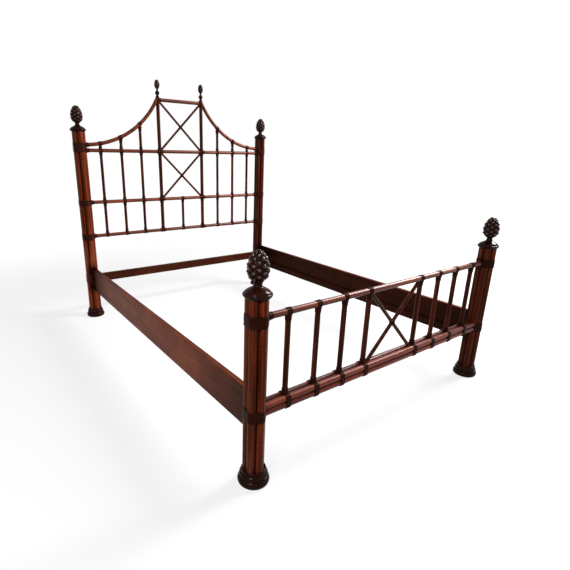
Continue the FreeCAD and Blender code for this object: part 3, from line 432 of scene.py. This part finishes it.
def plank_finish(name, stretch, edge=None):
    """Sawn board; given an edge, it also gets painted light on that top edge and painted shade, darker
    and duller, towards the head end.
    """
    material, tree, shader = new_finish(name)
    grain = streaks(tree, stretch, 8.0)
    broad = streaks(tree, tuple(value / 6 for value in stretch), 3.0)
    figure = sums(tree, "ADD", sums(tree, "MULTIPLY", grain, 0.55), sums(tree, "MULTIPLY", broad, 0.45))
    colour = shaded(tree, ramp(tree, figure, PLANK_STAIN), streaks(tree, (5, 5, 5), 2.0), PLANK_BLOTCH)
    rough = ramp(tree, figure, greys((0.3, 0.42), (0.75, 0.32)))
    if not edge:
        lacquer(tree, shader, colour, rough, grain, 0.0002, PLANK_GLOSS)
        return material
    spots = places(tree)
    # Painted light: the top edge of each side rail is painted paler, as if lit from above.
    colour = shaded(tree, colour, eased(tree, spots[Z_AXIS], *edge), TOP_EDGE_PAINTED_LIGHT)
    # Painted shade: the side rails are painted darker, and their gloss duller, towards the head end.
    colour = shaded(tree, colour, spots[Y_AXIS], PAINTED_SHADE_TO_HEAD)
    lacquer(tree, shader, colour, rough, grain, 0.0002, PLANK_GLOSS)
    tree.links.new(ramp(tree, spots[Y_AXIS], DULLER_TO_HEAD), shader.inputs[GLOSS])
    return material


rail_plank = plank_finish("rail_plank", (60, 2.2, 60), RAIL_TOP_EDGE)
base_plank = plank_finish("base_plank", (2.2, 60, 60))
print("planks", rail_plank.name, base_plank.name)


# %% Dark turnings and peel
def dark_finish(name, dark, pale, dull, shine, wear_and_highlight=None):
    """Wood or peel stained nearly black; where the wear_and_highlight attribute rises, paler and
    glossier, partly wear and partly a painted highlight.
    """
    material, tree, shader = new_finish(name)
    fine = streaks(tree, (40, 40, 160), 5.0)
    wear_and_painted_light = streaks(tree, (14, 14, 14), 4.0)
    figure = sums(tree, "ADD", sums(tree, "MULTIPLY", fine, 0.4), sums(tree, "MULTIPLY", wear_and_painted_light, 0.6))
    rough = ramp(tree, wear_and_painted_light, greys((0.3, dull + 0.12), (0.7, dull)))
    colour = ramp(tree, figure, ((0.32, dark), (0.70, pale)))
    if not wear_and_highlight:
        lacquer(tree, shader, colour, rough, fine, 0.0002, shine)
        return material
    attribute = tree.nodes.new("ShaderNodeAttribute")
    attribute.attribute_name = "wear_and_highlight"
    tip_wear_and_highlight = attribute.outputs["Fac"]
    amount, stained, pale_tip, tipped = colour_mix(tree, "MIX")
    tree.links.new(tip_wear_and_highlight, amount)
    tree.links.new(colour, stained)
    pale_tip.default_value = (*wear_and_highlight, 1)
    lacquer(tree, shader, tipped, rough, fine, 0.0002, shine)
    polish = sums(tree, "ADD", sums(tree, "MULTIPLY", tip_wear_and_highlight, 0.5), shine)
    tree.links.new(polish, shader.inputs[GLOSS])
    return material


# Pale, glossy tips on the knobs of the cones: partly wear, partly a painted highlight.
TIP_WEAR_AND_HIGHLIGHT = (0.105, 0.047, 0.029)
dark_turning = dark_finish(
    "dark_turning", (0.0050, 0.0009, 0.0005), (0.026, 0.0056, 0.0027), 0.13, 0.05, TIP_WEAR_AND_HIGHLIGHT)
foot_peel = dark_finish("foot_peel", (0.0089, 0.0016, 0.0005), (0.035, 0.0063, 0.0022), 0.30, 0.04)
head_peel = dark_finish("head_peel", (0.0148, 0.0024, 0.0009), (0.049, 0.0085, 0.0030), 0.28, 0.045)
PEELS = {"head": head_peel, "foot": foot_peel}
print("dark finishes", dark_turning.name, [peel.name for peel in PEELS.values()])

# %% Bare wood and steel
bare_wood, tree, shader = new_finish("bare_wood")
grain = streaks(tree, (80, 80, 3.0))
lacquer(tree, shader, ramp(tree, grain, ((0.3, (0.22, 0.13, 0.06)), (0.7, (0.42, 0.28, 0.15)))),
        ramp(tree, grain, greys((0.3, 0.7), (0.7, 0.55))), grain, 0.0004, 0.0)

blued_steel, tree, shader = new_finish("blued_steel")
brushed = streaks(tree, (220, 220, 40), 4.0)
lacquer(tree, shader, ramp(tree, brushed, ((0.3, (0.022, 0.019, 0.017)), (0.7, (0.046, 0.041, 0.037)))),
        ramp(tree, brushed, greys((0.3, 0.42), (0.7, 0.30))), brushed, 0.0001, 0.0)
shader.inputs["Metallic"].default_value = 1.0
print("hidden finishes", bare_wood.name, blued_steel.name)

# %% A finish for every solid
ENDINGS = {
    "post_reeds": reed_cane, "post_core": bare_wood, "post_cap": dark_turning, "finial": dark_turning,
    "finials": dark_turning, "left_foot": dark_turning, "right_foot": dark_turning,
    "bindings": foot_peel, "wraps": foot_peel, "hooks": blued_steel, "pins": blued_steel,
    "screws": blued_steel, "side_rail": rail_plank, "ledger": rail_plank, "base_rail": base_plank,
    "cross": brace_cane, "crest_rail_left": bent_cane, "crest_rail_right": bent_cane,
    "foot_bottom_rail": bundle_cane, "rail": cross_cane,
}
for name, node in nodes.items():
    chosen = [material for ending, material in ENDINGS.items() if name.endswith(ending)]
    node.data.materials.clear()
    node.data.materials.append(chosen[0] if chosen else upright_cane)
print("finished nodes", len(nodes))

# %% [markdown]
# ## Peel wound round the posts
# Flat cane peel is wound round the reeds wherever a rail enters a post. Pulled tight, it bridges the
# grooves, so one turn has the shape of a belt round five wheels. The belt comes from a convex hull of
# two rows of circles, and a small bevel rounds its edges so that the turns show when they are stacked.
# The low bands have a gap where a side rail meets the post, so that the rail can lift off.

# %% One taut turn
PEEL_WIDTH, PEEL_THICKNESS = 0.0094, 0.0024


def taut_turn(centres, radius, width, soft):
    """One turn of peel, pulled tight round a few canes."""
    bm = bmesh.new()
    for level in (0, width):
        for across, along in centres:
            bmesh.ops.create_circle(bm, segments=24, radius=radius, matrix=at(across, along, level))
    hull = bmesh.ops.convex_hull(bm, input=bm.verts[:], use_existing_faces=False)
    inside = [item for item in hull["geom_interior"] if isinstance(item, bmesh.types.BMVert)]
    bmesh.ops.delete(bm, geom=inside, context="VERTS")
    bmesh.ops.delete(bm, geom=[edge for edge in bm.edges if not edge.link_faces], context="EDGES")
    bmesh.ops.dissolve_limit(bm, angle_limit=math.radians(1), verts=bm.verts[:], edges=bm.edges[:])
    rims = [edge for edge in bm.edges if edge.calc_face_angle(0) > math.radians(60)]
    bmesh.ops.bevel(bm, geom=rims, offset=soft, segments=2, profile=0.5, affect="EDGES", material=-1)
    return keep_mesh(bm)


reed_angles = [REED_TURN + step * REED_STEP for step in range(REED_COUNT)]
reed_spots = [(REED_RING * math.cos(turn), REED_RING * math.sin(turn)) for turn in reed_angles]
post_turn = taut_turn(reed_spots, REED_RADIUS + PEEL_THICKNESS, PEEL_WIDTH, 0.0013)
print("post turn", len(post_turn.polygons), "faces")

# %% Turns with a gap for a side rail
GAP_HALF, GAP_FLOOR = 0.0146, 0.0230
ON_WALL = 1e-5


def opened(mesh, way):
    """Copy of a turn with a gap on one side, so that the rail and its hooks can lift through it."""
    bm = bmesh.new()
    bm.from_mesh(mesh)
    walls = [((side * GAP_HALF, 0, 0), (1, 0, 0)) for side in (1, -1)]
    walls.append(((0, way * GAP_FLOOR, 0), (0, 1, 0)))
    for spot, normal in walls:
        everything = bm.verts[:] + bm.edges[:] + bm.faces[:]
        bmesh.ops.bisect_plane(bm, geom=everything, dist=SAME_POINT, plane_co=spot, plane_no=normal)
    middles = [(face, face.calc_center_median()) for face in bm.faces]
    gone = [face for face, middle in middles if abs(middle.x) < GAP_HALF and middle.y * way > GAP_FLOOR]
    bmesh.ops.delete(bm, geom=gone, context="FACES")
    rim = [edge for edge in bm.edges if edge.is_boundary]
    corners = {vert for edge in rim for vert in edge.verts}
    inner = [vert for vert in corners if abs(vert.co.y * way - GAP_FLOOR) < ON_WALL]
    for wall in (GAP_HALF, -GAP_HALF):
        rim.append(bm.edges.new([vert for vert in inner if abs(vert.co.x - wall) < ON_WALL]))
    for spot, normal in walls:
        flat = [edge for edge in rim
                if all(abs((vert.co - Vector(spot)).dot(normal)) < ON_WALL for vert in edge.verts)]
        bmesh.ops.contextual_create(bm, geom=flat)
    return keep_mesh(bm)


open_turns = {"head": opened(post_turn, -1), "foot": opened(post_turn, 1)}
print("open turn", len(open_turns["head"].polygons), "faces")

# %% A neck of peel
TUCK, NECK_START = 1.0, 4.0
NECK_TURNS, TURN_STEPS = 5, 3
ROUND_STEPS = 20


def neck(core, length, flare):
    """Peel that runs out along a pole, turn by turn, spun from an outline in millimetres."""
    inside = core * MM_PER_M - TUCK
    line = [(inside, NECK_START)]
    points = NECK_TURNS * TURN_STEPS
    for point in range(points + 1):
        share = point / points
        swell = 1.2 + flare * (1 - share) ** 2.2 + (0.6 if point % TURN_STEPS else 0.0)
        line.append((core * MM_PER_M + swell, NECK_START + share * (length * MM_PER_M - NECK_START)))
    line.append((inside, length * MM_PER_M))
    return spun(line, ROUND_STEPS, closed=True)


rail_neck = neck(POLE_RADIUS, 0.024, 4.2)
print("rail neck", len(rail_neck.polygons), "faces")

# %% Bands on the posts
HEAD_PLANK = 0.308
BANDS = {
    "head": (((HEAD_UPPER + CREST_START) / 2, 0.064), (HEAD_MIDDLE, 0.040), (HEAD_LOWER, 0.048),
             (HEAD_PLANK, 0.066)),
    "foot": ((FOOT_TOP - 0.0015, 0.047), (FOOT_BOTTOM - 0.008, 0.050)),
}
RAILS = {"head": (HEAD_LOWER, HEAD_MIDDLE, HEAD_UPPER, CREST_START), "foot": (FOOT_TOP,)}
OPEN_BELOW = 0.5
NECK_SUNK = 0.004
luck_of_hand = random.Random(11)
for end, side, x, y in posts:
    bm = bmesh.new()
    for middle, tall in BANDS[end]:
        wound = open_turns[end] if middle < OPEN_BELOW else post_turn
        count = round(tall / PEEL_WIDTH)
        for turn in range(count):
            slack = luck_of_hand.uniform(0.996, 1.008)
            place = at(x, y, middle - tall / 2 + turn * tall / count)
            stamp(bm, wound, place @ Matrix.Diagonal((slack, slack, tall / count / PEEL_WIDTH, 1)))
    inward = -math.copysign(1, x)
    neck_x = x + inward * (POST_RADIUS - NECK_SUNK)
    for height in RAILS[end]:
        stamp(bm, rail_neck, at(neck_x, y, height, facing(inward, 0, 0)))
    finish(f"{end}_{side}_wound_bands", bm, PEELS[end], (f"{end}_{side}_bindings",),
           sharp=40)

# %% [markdown]
# ## Lashed joints
# Where a spindle meets a rail, the same peel is wound round the rail and then out along the spindle, so
# each joint shows a ribbed ring and a neck that flares into it. Both are spun from a rippled outline,
# once for each pole size, and stamped at every joint.

# %% Rings and necks
RIB, GROOVE = 2.9, 1.7


def ring(core, width, turns):
    """Ribbed ring of peel round a pole, spun from an outline in millimetres."""
    inside = core * MM_PER_M - TUCK
    line = [(inside, -width * MM_PER_M / 2)]
    points = turns * TURN_STEPS
    for point in range(points + 1):
        ripple = RIB if point % TURN_STEPS else GROOVE
        line.append((core * MM_PER_M + ripple, width * MM_PER_M * (point / points - 0.5)))
    line.append((inside, width * MM_PER_M / 2))
    return spun(line, ROUND_STEPS, closed=True)


SPINDLE_RADIUS, FOOT_SPINDLE_RADIUS, FOOT_UPRIGHT_RADIUS = 0.0105, 0.0115, 0.01175
rail_ring = ring(POLE_RADIUS, 0.024, 4)
spindle_neck = neck(SPINDLE_RADIUS, POLE_RADIUS + 0.020, 4.8)
upright_neck = neck(POLE_RADIUS, POLE_RADIUS + 0.016, 3.0)
rail_side_neck = neck(POLE_RADIUS, POLE_RADIUS + 0.012, 3.0)
foot_spindle_neck = neck(FOOT_SPINDLE_RADIUS, POLE_RADIUS + 0.023, 5.0)
foot_upright_neck = neck(FOOT_UPRIGHT_RADIUS, POLE_RADIUS + 0.023, 5.0)
UP, DOWN = facing(0, 0, 1), facing(0, 0, -1)
ALONG, BACK = facing(1, 0, 0), facing(-1, 0, 0)
print("ring", len(rail_ring.polygons), "neck", len(spindle_neck.polygons), "faces")

# %% Height of a crest rail
CREST_SWEEP, CREST_END = 0.650, 0.76822


def crest_spot(x):
    """Height and slope direction of a crest rail above a place on the head board."""
    run = CREST_END - abs(x)
    rise = math.sqrt(CREST_SWEEP ** 2 - run ** 2)
    return CREST_START + CREST_SWEEP - rise, Vector((-math.copysign(rise, x), 0, run))


print("crest above the panel's side", round(crest_spot(PANEL_X)[0], 3))

# %% Lashings of the head spindles
OUTER_SPINDLE = SPINDLE_X[-1]
SHORT_NECK = 0.8
spindles = [sign * x for sign in (-1, 1) for x in SPINDLE_X]
bm = bmesh.new()
for x in spindles:
    outer = abs(x) == OUTER_SPINDLE
    for height, turns in ((HEAD_LOWER, (UP,)), (HEAD_MIDDLE, (UP, DOWN)), (HEAD_UPPER, (UP, DOWN))):
        stamp(bm, rail_ring, at(x, POST_Y, height, ALONG))
        for turn in turns:
            length = SHORT_NECK if outer and height == HEAD_UPPER and turn is UP else 1
            stamp(bm, spindle_neck, at(x, POST_Y, height, turn) @ Matrix.Diagonal((1, 1, length, 1)))
    top, slope = crest_spot(x)
    stamp(bm, rail_ring, at(x, POST_Y, top, facing(*slope)))
    if not outer:
        drop = POLE_RADIUS * (CREST_SWEEP / abs(slope.x) - 1) + 0.010 * slope.z / abs(slope.x)
        stamp(bm, spindle_neck, at(x, POST_Y, top - drop, DOWN))
print("spindles lashed", len(spindles))

# %% Lashings of the head panel
for height, turn in ((HEAD_LOWER, UP), (HEAD_MIDDLE, DOWN)):
    stamp(bm, rail_ring, at(0, POST_Y, height, ALONG))
    stamp(bm, spindle_neck, at(0, POST_Y, height, turn))
PANEL_JOINTS = (
    (HEAD_LOWER, (UP,)), (HEAD_MIDDLE, (UP, DOWN)), (HEAD_UPPER, (UP, DOWN)), (HEAD_TOP, (DOWN,)))
for x in (-PANEL_X, PANEL_X):
    for height, turns in PANEL_JOINTS:
        for turn in turns:
            stamp(bm, upright_neck, at(x, POST_Y, height, turn))
        for turn in (ALONG, BACK):
            if height != HEAD_TOP or (turn is ALONG) == (x < 0):
                stamp(bm, rail_side_neck, at(x, POST_Y, height, turn))
finish("head_lashings", bm, head_peel, ("head_joint_wraps",), sharp=40)

# %% Lashings of the foot board's top rail
foot_necks = {x: foot_spindle_neck for x in spindles}
foot_necks.update({-PANEL_X: foot_upright_neck, PANEL_X: foot_upright_neck})
bm = bmesh.new()
for x, wound in foot_necks.items():
    stamp(bm, rail_ring, at(x, -POST_Y, FOOT_TOP, ALONG))
    stamp(bm, wound, at(x, -POST_Y, FOOT_TOP, DOWN))
finish("foot_top_lashings", bm, foot_peel, ("foot_top_wraps",), sharp=40)

# %% Straps round the foot board's bundle
BUNDLE_RADIUS, STRAP_WIDTH, STRAP_THICKNESS, STRAP_TURNS = 0.014, 0.0075, 0.0036, 3
bundle_spots = [(row * BUNDLE_STEP, column * BUNDLE_STEP) for row in (-1, 1) for column in (-1, 1)]
strap_turn = taut_turn(bundle_spots, BUNDLE_RADIUS + STRAP_THICKNESS, STRAP_WIDTH, 0.0012)
bm = bmesh.new()
for x, wound in foot_necks.items():
    for turn in range(STRAP_TURNS):
        start = x + (turn - STRAP_TURNS / 2) * STRAP_WIDTH
        stamp(bm, strap_turn, at(start, -POST_Y, FOOT_BOTTOM, ALONG))
    stamp(bm, wound, at(x, -POST_Y, FOOT_BOTTOM + BUNDLE_STEP + 0.002, UP))
finish("foot_bottom_lashings", bm, foot_peel, ("foot_bottom_wraps",), sharp=40)

# %% [markdown]
# ## Crossings of the braces
# A few turns of peel also tie each pair of braces where they cross, one loop upright and one level.
# The loops are spun like the rail's ring and then pressed flat, because a crossing is wider than it is
# deep.

# %% Brace knots
CROSSING_RADIUS, PRESSED = 0.0126, 0.84
brace_ring = ring(CROSSING_RADIUS, 0.010, 2)
KNOTS = {
    "head_upper_knot": (POST_Y, (HEAD_UPPER + HEAD_TOP) / 2),
    "head_lower_knot": (POST_Y, (HEAD_MIDDLE + HEAD_UPPER) / 2),
    "foot_knot": (-POST_Y, (FOOT_BOTTOM + FOOT_TOP) / 2),
}
for name, (y, height) in KNOTS.items():
    bm = bmesh.new()
    for turn in (UP, ALONG):
        stamp(bm, brace_ring, at(0, y, height) @ Matrix.Diagonal((1, PRESSED, 1, 1)) @ turn.to_4x4())
    finish(name, bm, PEELS[name[:4]], sharp=40)

# %% [markdown]
# ## Turned feet and caps
# Each post stands on a turned foot with a fat ring, a smaller ring and a lip that hugs the reeds, and
# carries a cap like a low dome with a rolled edge. Both are plain lathe work, so a half outline with a
# few more points than the solid has is spun round the axis of the post.

# %% Feet and caps
FOOT_OUTLINE = (
    (0, 0), (57.5, 0), (60.5, 1.2), (63.4, 4.4), (65.3, 9.0), (65.9, 14.5), (65.2, 20.0), (63.0, 25.0),
    (59.6, 28.8), (56.4, 30.4), (54.8, 31.4), (54.2, 32.6), (55.4, 33.8), (57.6, 36.4), (58.6, 40.2),
    (58.3, 44.2), (56.6, 47.8), (53.8, 50.4), (51.8, 51.6), (51.0, 53.0), (51.4, 54.6), (52.0, 57.6),
    (51.7, 61.2), (50.6, 64.6), (48.8, 67.2), (47.4, 68.0), (46.0, 68.0), (45.0, 60.0), (0, 60.0),
)
CAP_OUTLINE = (
    (0, 0.6), (47.2, 0.6), (48.4, 1.2), (50.2, 3.0), (52.6, 6.2), (54.4, 9.2), (55.2, 11.8),
    (54.9, 14.2), (53.6, 16.2), (51.6, 17.4), (50.2, 18.0), (49.6, 18.8), (49.4, 19.8), (48.2, 22.0),
    (45.4, 24.8), (41.4, 27.8), (36.8, 30.8), (31.8, 33.4), (27.0, 35.8), (22.8, 38.0), (19.6, 40.0),
    (17.4, 42.2), (16.0, 44.8), (15.4, 47.4), (15.2, 49.6), (14.4, 51.5), (0, 51.5),
)
LATHE_STEPS = 64
turned_foot = spun(FOOT_OUTLINE, LATHE_STEPS)
turned_cap = spun(CAP_OUTLINE, LATHE_STEPS)
for end, side, x, y in posts:
    for name, mesh, height in (("foot", turned_foot, 0), ("post_cap", turned_cap, SEAT[end])):
        bm = bmesh.new()
        stamp(bm, mesh, at(x, y, height))
        finish(f"{end}_{side}_turned_{name}", bm, dark_turning,
               (f"{end}_{side}_{name}",), sharp=60)

# %% [markdown]
# ## Cone finials
# The finials are carved like a closed fir cone: rows of lozenge scales, each row set half a step on
# from the one below, every scale rising to a small knob that catches the light. One scale is a ball of
# few faces, pressed flat and drawn out at its pole, and it is stamped over a spun core.

# %% One scale
def scale_mesh():
    """A scale as wide and high as a ball of radius one, with its knob along z."""
    bm = bmesh.new()
    wear_and_highlight = bm.verts.layers.float.new("wear_and_highlight")
    bmesh.ops.create_uvsphere(bm, u_segments=8, v_segments=6, radius=1)
    rim = [vert for vert in bm.verts if abs(vert.co.z) < 0.1]
    corners = [vert for vert in rim if abs(abs(vert.co.x) - abs(vert.co.y)) < 0.05 * abs(vert.co.x)]
    bmesh.ops.scale(bm, vec=(0.80, 0.80, 1), verts=corners)
    levels = ((-1.1, -0.1), (0.1, 0.7), (0.7, 0.95), (0.95, 1.1))
    back, shoulder, knob, tip = (
        [vert for vert in bm.verts if low < vert.co.z < high] for low, high in levels)
    bmesh.ops.scale(bm, vec=(1, 1, 0.25), verts=back)
    bmesh.ops.scale(bm, vec=(0.50, 0.64, 0.60), verts=shoulder)
    bmesh.ops.scale(bm, vec=(0.56, 0.84, 0.96), verts=knob)
    bmesh.ops.translate(bm, vec=(0, 0.08, 0), verts=knob + tip)
    # Knobs and tips are marked paler: partly wear, partly a painted highlight.
    for verts, amount in ((knob, 0.4), (tip, 1.0)):
        for vert in verts:
            vert[wear_and_highlight] = amount
    return keep_mesh(bm)


cone_scale = scale_mesh()
print("scale", len(cone_scale.polygons), "faces")

# %% Rows of scales
SCALES_IN_ROW = 6
WIDEST_ROW = 4


def cone_scales(bm, rows, depth, x, y, base):
    """Set scales on rows of height and radius, each row half a step on from the last."""
    for index in range(1, len(rows) - 1):
        (low_z, low_r), (mid_z, mid_r), (high_z, high_r) = rows[index - 1:index + 2]
        climb = Vector((high_r - low_r, 0, high_z - low_z)).normalized()
        tall = (Vector((high_r, 0, high_z)) - Vector((low_r, 0, low_z))).length / 2
        out = Vector((climb.z, 0, -climb.x))
        lie = Matrix((Vector((0, 1, 0)), climb, out)).transposed().to_4x4()
        swell = depth * (0.55 + 0.45 * mid_r / rows[WIDEST_ROW][1]) * min(1, 0.1 + 0.3 * index)
        wide = mid_r * math.pi / SCALES_IN_ROW * min(1, 0.6 + 0.2 * index)
        size = Matrix.Diagonal((wide, tall, swell, 1))
        half_step = 0.5 * ((len(rows) - 1 - index) % 2)
        for turn in range(SCALES_IN_ROW):
            swing = Matrix.Rotation((turn + half_step) * math.tau / SCALES_IN_ROW, 4, "Z")
            stamp(bm, cone_scale, at(x, y, base) @ swing @ at(mid_r, 0, mid_z) @ lie @ size)


# %% Large finials
CONE_HEIGHT, CONE_RADIUS = 0.122, 0.0352
CONE_LIFT, CONE_DEPTH = 0.050, 0.0066
CONE_SHAPE = (
    (0.045, 0.42), (0.100, 0.58), (0.175, 0.82), (0.265, 0.96), (0.365, 1.01), (0.465, 1.02),
    (0.565, 0.985), (0.665, 0.90), (0.76, 0.77), (0.85, 0.59), (0.925, 0.39), (0.98, 0.17))
CORE_MM_PER_M = 965
cone_rows = [(CONE_HEIGHT * share, CONE_RADIUS * reach) for share, reach in CONE_SHAPE]
core_outline = [(0, -1.0), (14.8, -1.0), (14.4, 1.0), (14.4, 3.4), (15.2, 6.0), (17.0, 8.8)]
core_outline += [(radius * CORE_MM_PER_M, height * MM_PER_M) for height, radius in cone_rows[1:]]
cone_core = spun(core_outline + [(0, 122.0)], 40)
for end, side, x, y in posts:
    bm = bmesh.new()
    base = SEAT[end] + CONE_LIFT
    stamp(bm, cone_core, at(x, y, base))
    cone_scales(bm, cone_rows, CONE_DEPTH, x, y, base)
    finish(f"{end}_{side}_cone", bm, dark_turning, (f"{end}_{side}_finial",), sharp=60)

# %% [markdown]
# ## Small finials
# The two uprights of the head panel end in small finials: a stem with a bead, a pinched neck and a slim
# cone. The stem is spun and the cone carries the same scales, smaller.

# %% Small finials
UPRIGHT_TOP = 1.662
SMALL_START, SMALL_HEIGHT, SMALL_RADIUS, SMALL_DEPTH = 0.054, 0.072, 0.0178, 0.0024
SMALL_SHAPE = (
    (0.05, 0.46), (0.15, 0.74), (0.27, 0.92), (0.40, 1.02), (0.53, 1.02), (0.66, 0.94), (0.78, 0.80),
    (0.88, 0.58), (0.95, 0.30))
SMALL_CORE_MM_PER_M = 940
small_rows = [
    (SMALL_START + SMALL_HEIGHT * share, SMALL_RADIUS * reach) for share, reach in SMALL_SHAPE]
stem_outline = [
    (0, -0.5), (13.2, -0.5), (14.4, 1.0), (14.6, 4.0), (13.4, 6.0), (10.0, 7.6), (8.6, 10.0),
    (8.8, 13.0), (10.6, 16.5), (14.0, 21.5), (16.6, 26.5), (17.2, 30.0), (16.4, 33.5), (13.6, 38.5),
    (10.2, 43.0), (7.6, 46.5), (6.6, 49.5), (6.4, 52.0), (7.0, 54.5),
]
stem_outline += [(radius * SMALL_CORE_MM_PER_M, height * MM_PER_M) for height, radius in small_rows[1:]]
small_core = spun(stem_outline + [(0, 124.0)], 32)
bm = bmesh.new()
for x in (-PANEL_X, PANEL_X):
    stamp(bm, small_core, at(x, POST_Y, UPRIGHT_TOP))
    cone_scales(bm, small_rows, SMALL_DEPTH, x, POST_Y, UPRIGHT_TOP)
finish("head_small_cones", bm, dark_turning, ("head_small_finials",), sharp=60)

# %% [markdown]
# ## Camera
# The photograph was solved as one perspective view, so the camera stands where that solution puts it:
# at the left front corner, a little above the foot board, with a slight roll and the centre of the view
# shifted as in the photograph.

# %% Camera
PICTURE_PIXELS, SENSOR_MM = 570, 36
FOCAL_PIXELS = 425.404
CENTRE_ACROSS, CENTRE_DOWN = 253.295, 287.200
camera = bpy.data.objects.new("camera", bpy.data.cameras.new("camera"))
scene.collection.objects.link(camera)
right = Vector((0.814847, -0.579337, 0.019800))
down = Vector((-0.160837, -0.258771, -0.952454))
forward = Vector((0.556916, 0.772920, -0.304038))
camera.matrix_world = at(-1.64328, -2.23774, 1.27959, Matrix((right, -down, -forward)).transposed())
camera.data.sensor_width = SENSOR_MM
camera.data.lens = FOCAL_PIXELS / PICTURE_PIXELS * SENSOR_MM
camera.data.shift_x = 0.5 - CENTRE_ACROSS / PICTURE_PIXELS
camera.data.shift_y = CENTRE_DOWN / PICTURE_PIXELS - 0.5
scene.camera = camera
print("lens", round(camera.data.lens, 2))

# %% [markdown]
# ## Floor and light
# A wide floor lies under a white surround. The floor keeps the bed's soft shadow, and a light of its
# own, which only the camera and reflections see, makes it pale. A panel high above the right of the
# foot end gives the lacquer its long highlights, a small lamp at the front left lights the near faces,
# and a low strip beside the left rail brings out its grain.

# %% Floor
FLOOR_HALF, FLOOR_GREY = 150, 0.15
PAGE_NEAR, PAGE_RISE, PAGE_FADE = 0.78, 0.20, (2.0, 5.0)


def seen_directly(tree):
    """One for rays from the camera, off gloss or through glass, and nought for the others."""
    path = tree.nodes.new("ShaderNodeLightPath")
    seen = path.outputs["Is Camera Ray"]
    for ray in ("Is Glossy Ray", "Is Transmission Ray"):
        seen = sums(tree, "MAXIMUM", seen, path.outputs[ray])
    return seen


bm = bmesh.new()
bmesh.ops.create_grid(bm, x_segments=1, y_segments=1, size=FLOOR_HALF)
mesh = bpy.data.meshes.new("floor")
bm.to_mesh(mesh)
bm.free()
floor = bpy.data.objects.new("floor", mesh)
scene.collection.objects.link(floor)
floor_paint, tree, shader = new_finish("floor_paint")
shader.inputs["Base Color"].default_value = (*grey(FLOOR_GREY), 1)
shader.inputs["Roughness"].default_value = 0.8
shader.inputs[GLOSS].default_value = 0.1
spot = tree.nodes.new("ShaderNodeTexCoord")
span = tree.nodes.new("ShaderNodeVectorMath")
span.operation = "LENGTH"
tree.links.new(spot.outputs["Object"], span.inputs[0])
far = eased(tree, span.outputs["Value"], *PAGE_FADE)
share = sums(tree, "ADD", sums(tree, "MULTIPLY", far, PAGE_RISE), PAGE_NEAR)
page = tree.nodes.new("ShaderNodeEmission")
glow = tree.nodes.new("ShaderNodeAddShader")
tree.links.new(sums(tree, "MULTIPLY", seen_directly(tree), share), page.inputs["Strength"])
tree.links.new(shader.outputs[0], glow.inputs[0])
tree.links.new(page.outputs[0], glow.inputs[1])
tree.links.new(glow.outputs[0], tree.nodes["Material Output"].inputs["Surface"])
mesh.materials.append(floor_paint)
print("floor", 2 * FLOOR_HALF, "m wide")

# %% Surround
AMBIENT = 0.16
world = bpy.data.worlds.new("studio")
scene.world = world
world.use_nodes = True
tree = world.node_tree
surround = tree.nodes["Background"]
surround.inputs["Color"].default_value = (1, 1, 1, 1)
whiter = sums(tree, "MULTIPLY", seen_directly(tree), 1 - AMBIENT)
tree.links.new(sums(tree, "ADD", whiter, AMBIENT), surround.inputs["Strength"])
print("surround", AMBIENT)


# %% Lamps
def soft_lamp(name, spot, aim, size, power, spread=math.pi):
    """Flat lamp at a spot, turned towards its aim."""
    lamp = bpy.data.lights.new(name, "AREA")
    lamp.shape = "RECTANGLE"
    lamp.size, lamp.size_y = size
    lamp.energy = power
    lamp.spread = spread
    holder = bpy.data.objects.new(name, lamp)
    holder.location = spot
    holder.rotation_euler = (Vector(aim) - Vector(spot)).to_track_quat("-Z", "Y").to_euler()
    holder.visible_camera = False
    scene.collection.objects.link(holder)


soft_lamp("right_panel", (2.93, -1.1, 3.13), (2.64, -1.1, 2.17), (1.05, 2.2), 490)
soft_lamp("front_left_lamp", (-2.3, -2.0, 2.1), (-0.5, 0, 0.6), (0.5, 0.5), 46)
soft_lamp("left_strip", (-1.40, 0.14, 0.315), (-0.8, 0.14, 0.315), (1.8, 0.10), 4.7, math.radians(70))
print("lamps", len(bpy.data.lights))

# %% [markdown]
# ## Colour view
# The colours are shown as they are written.

# %% Colour view
scene.view_settings.view_transform = "Standard"
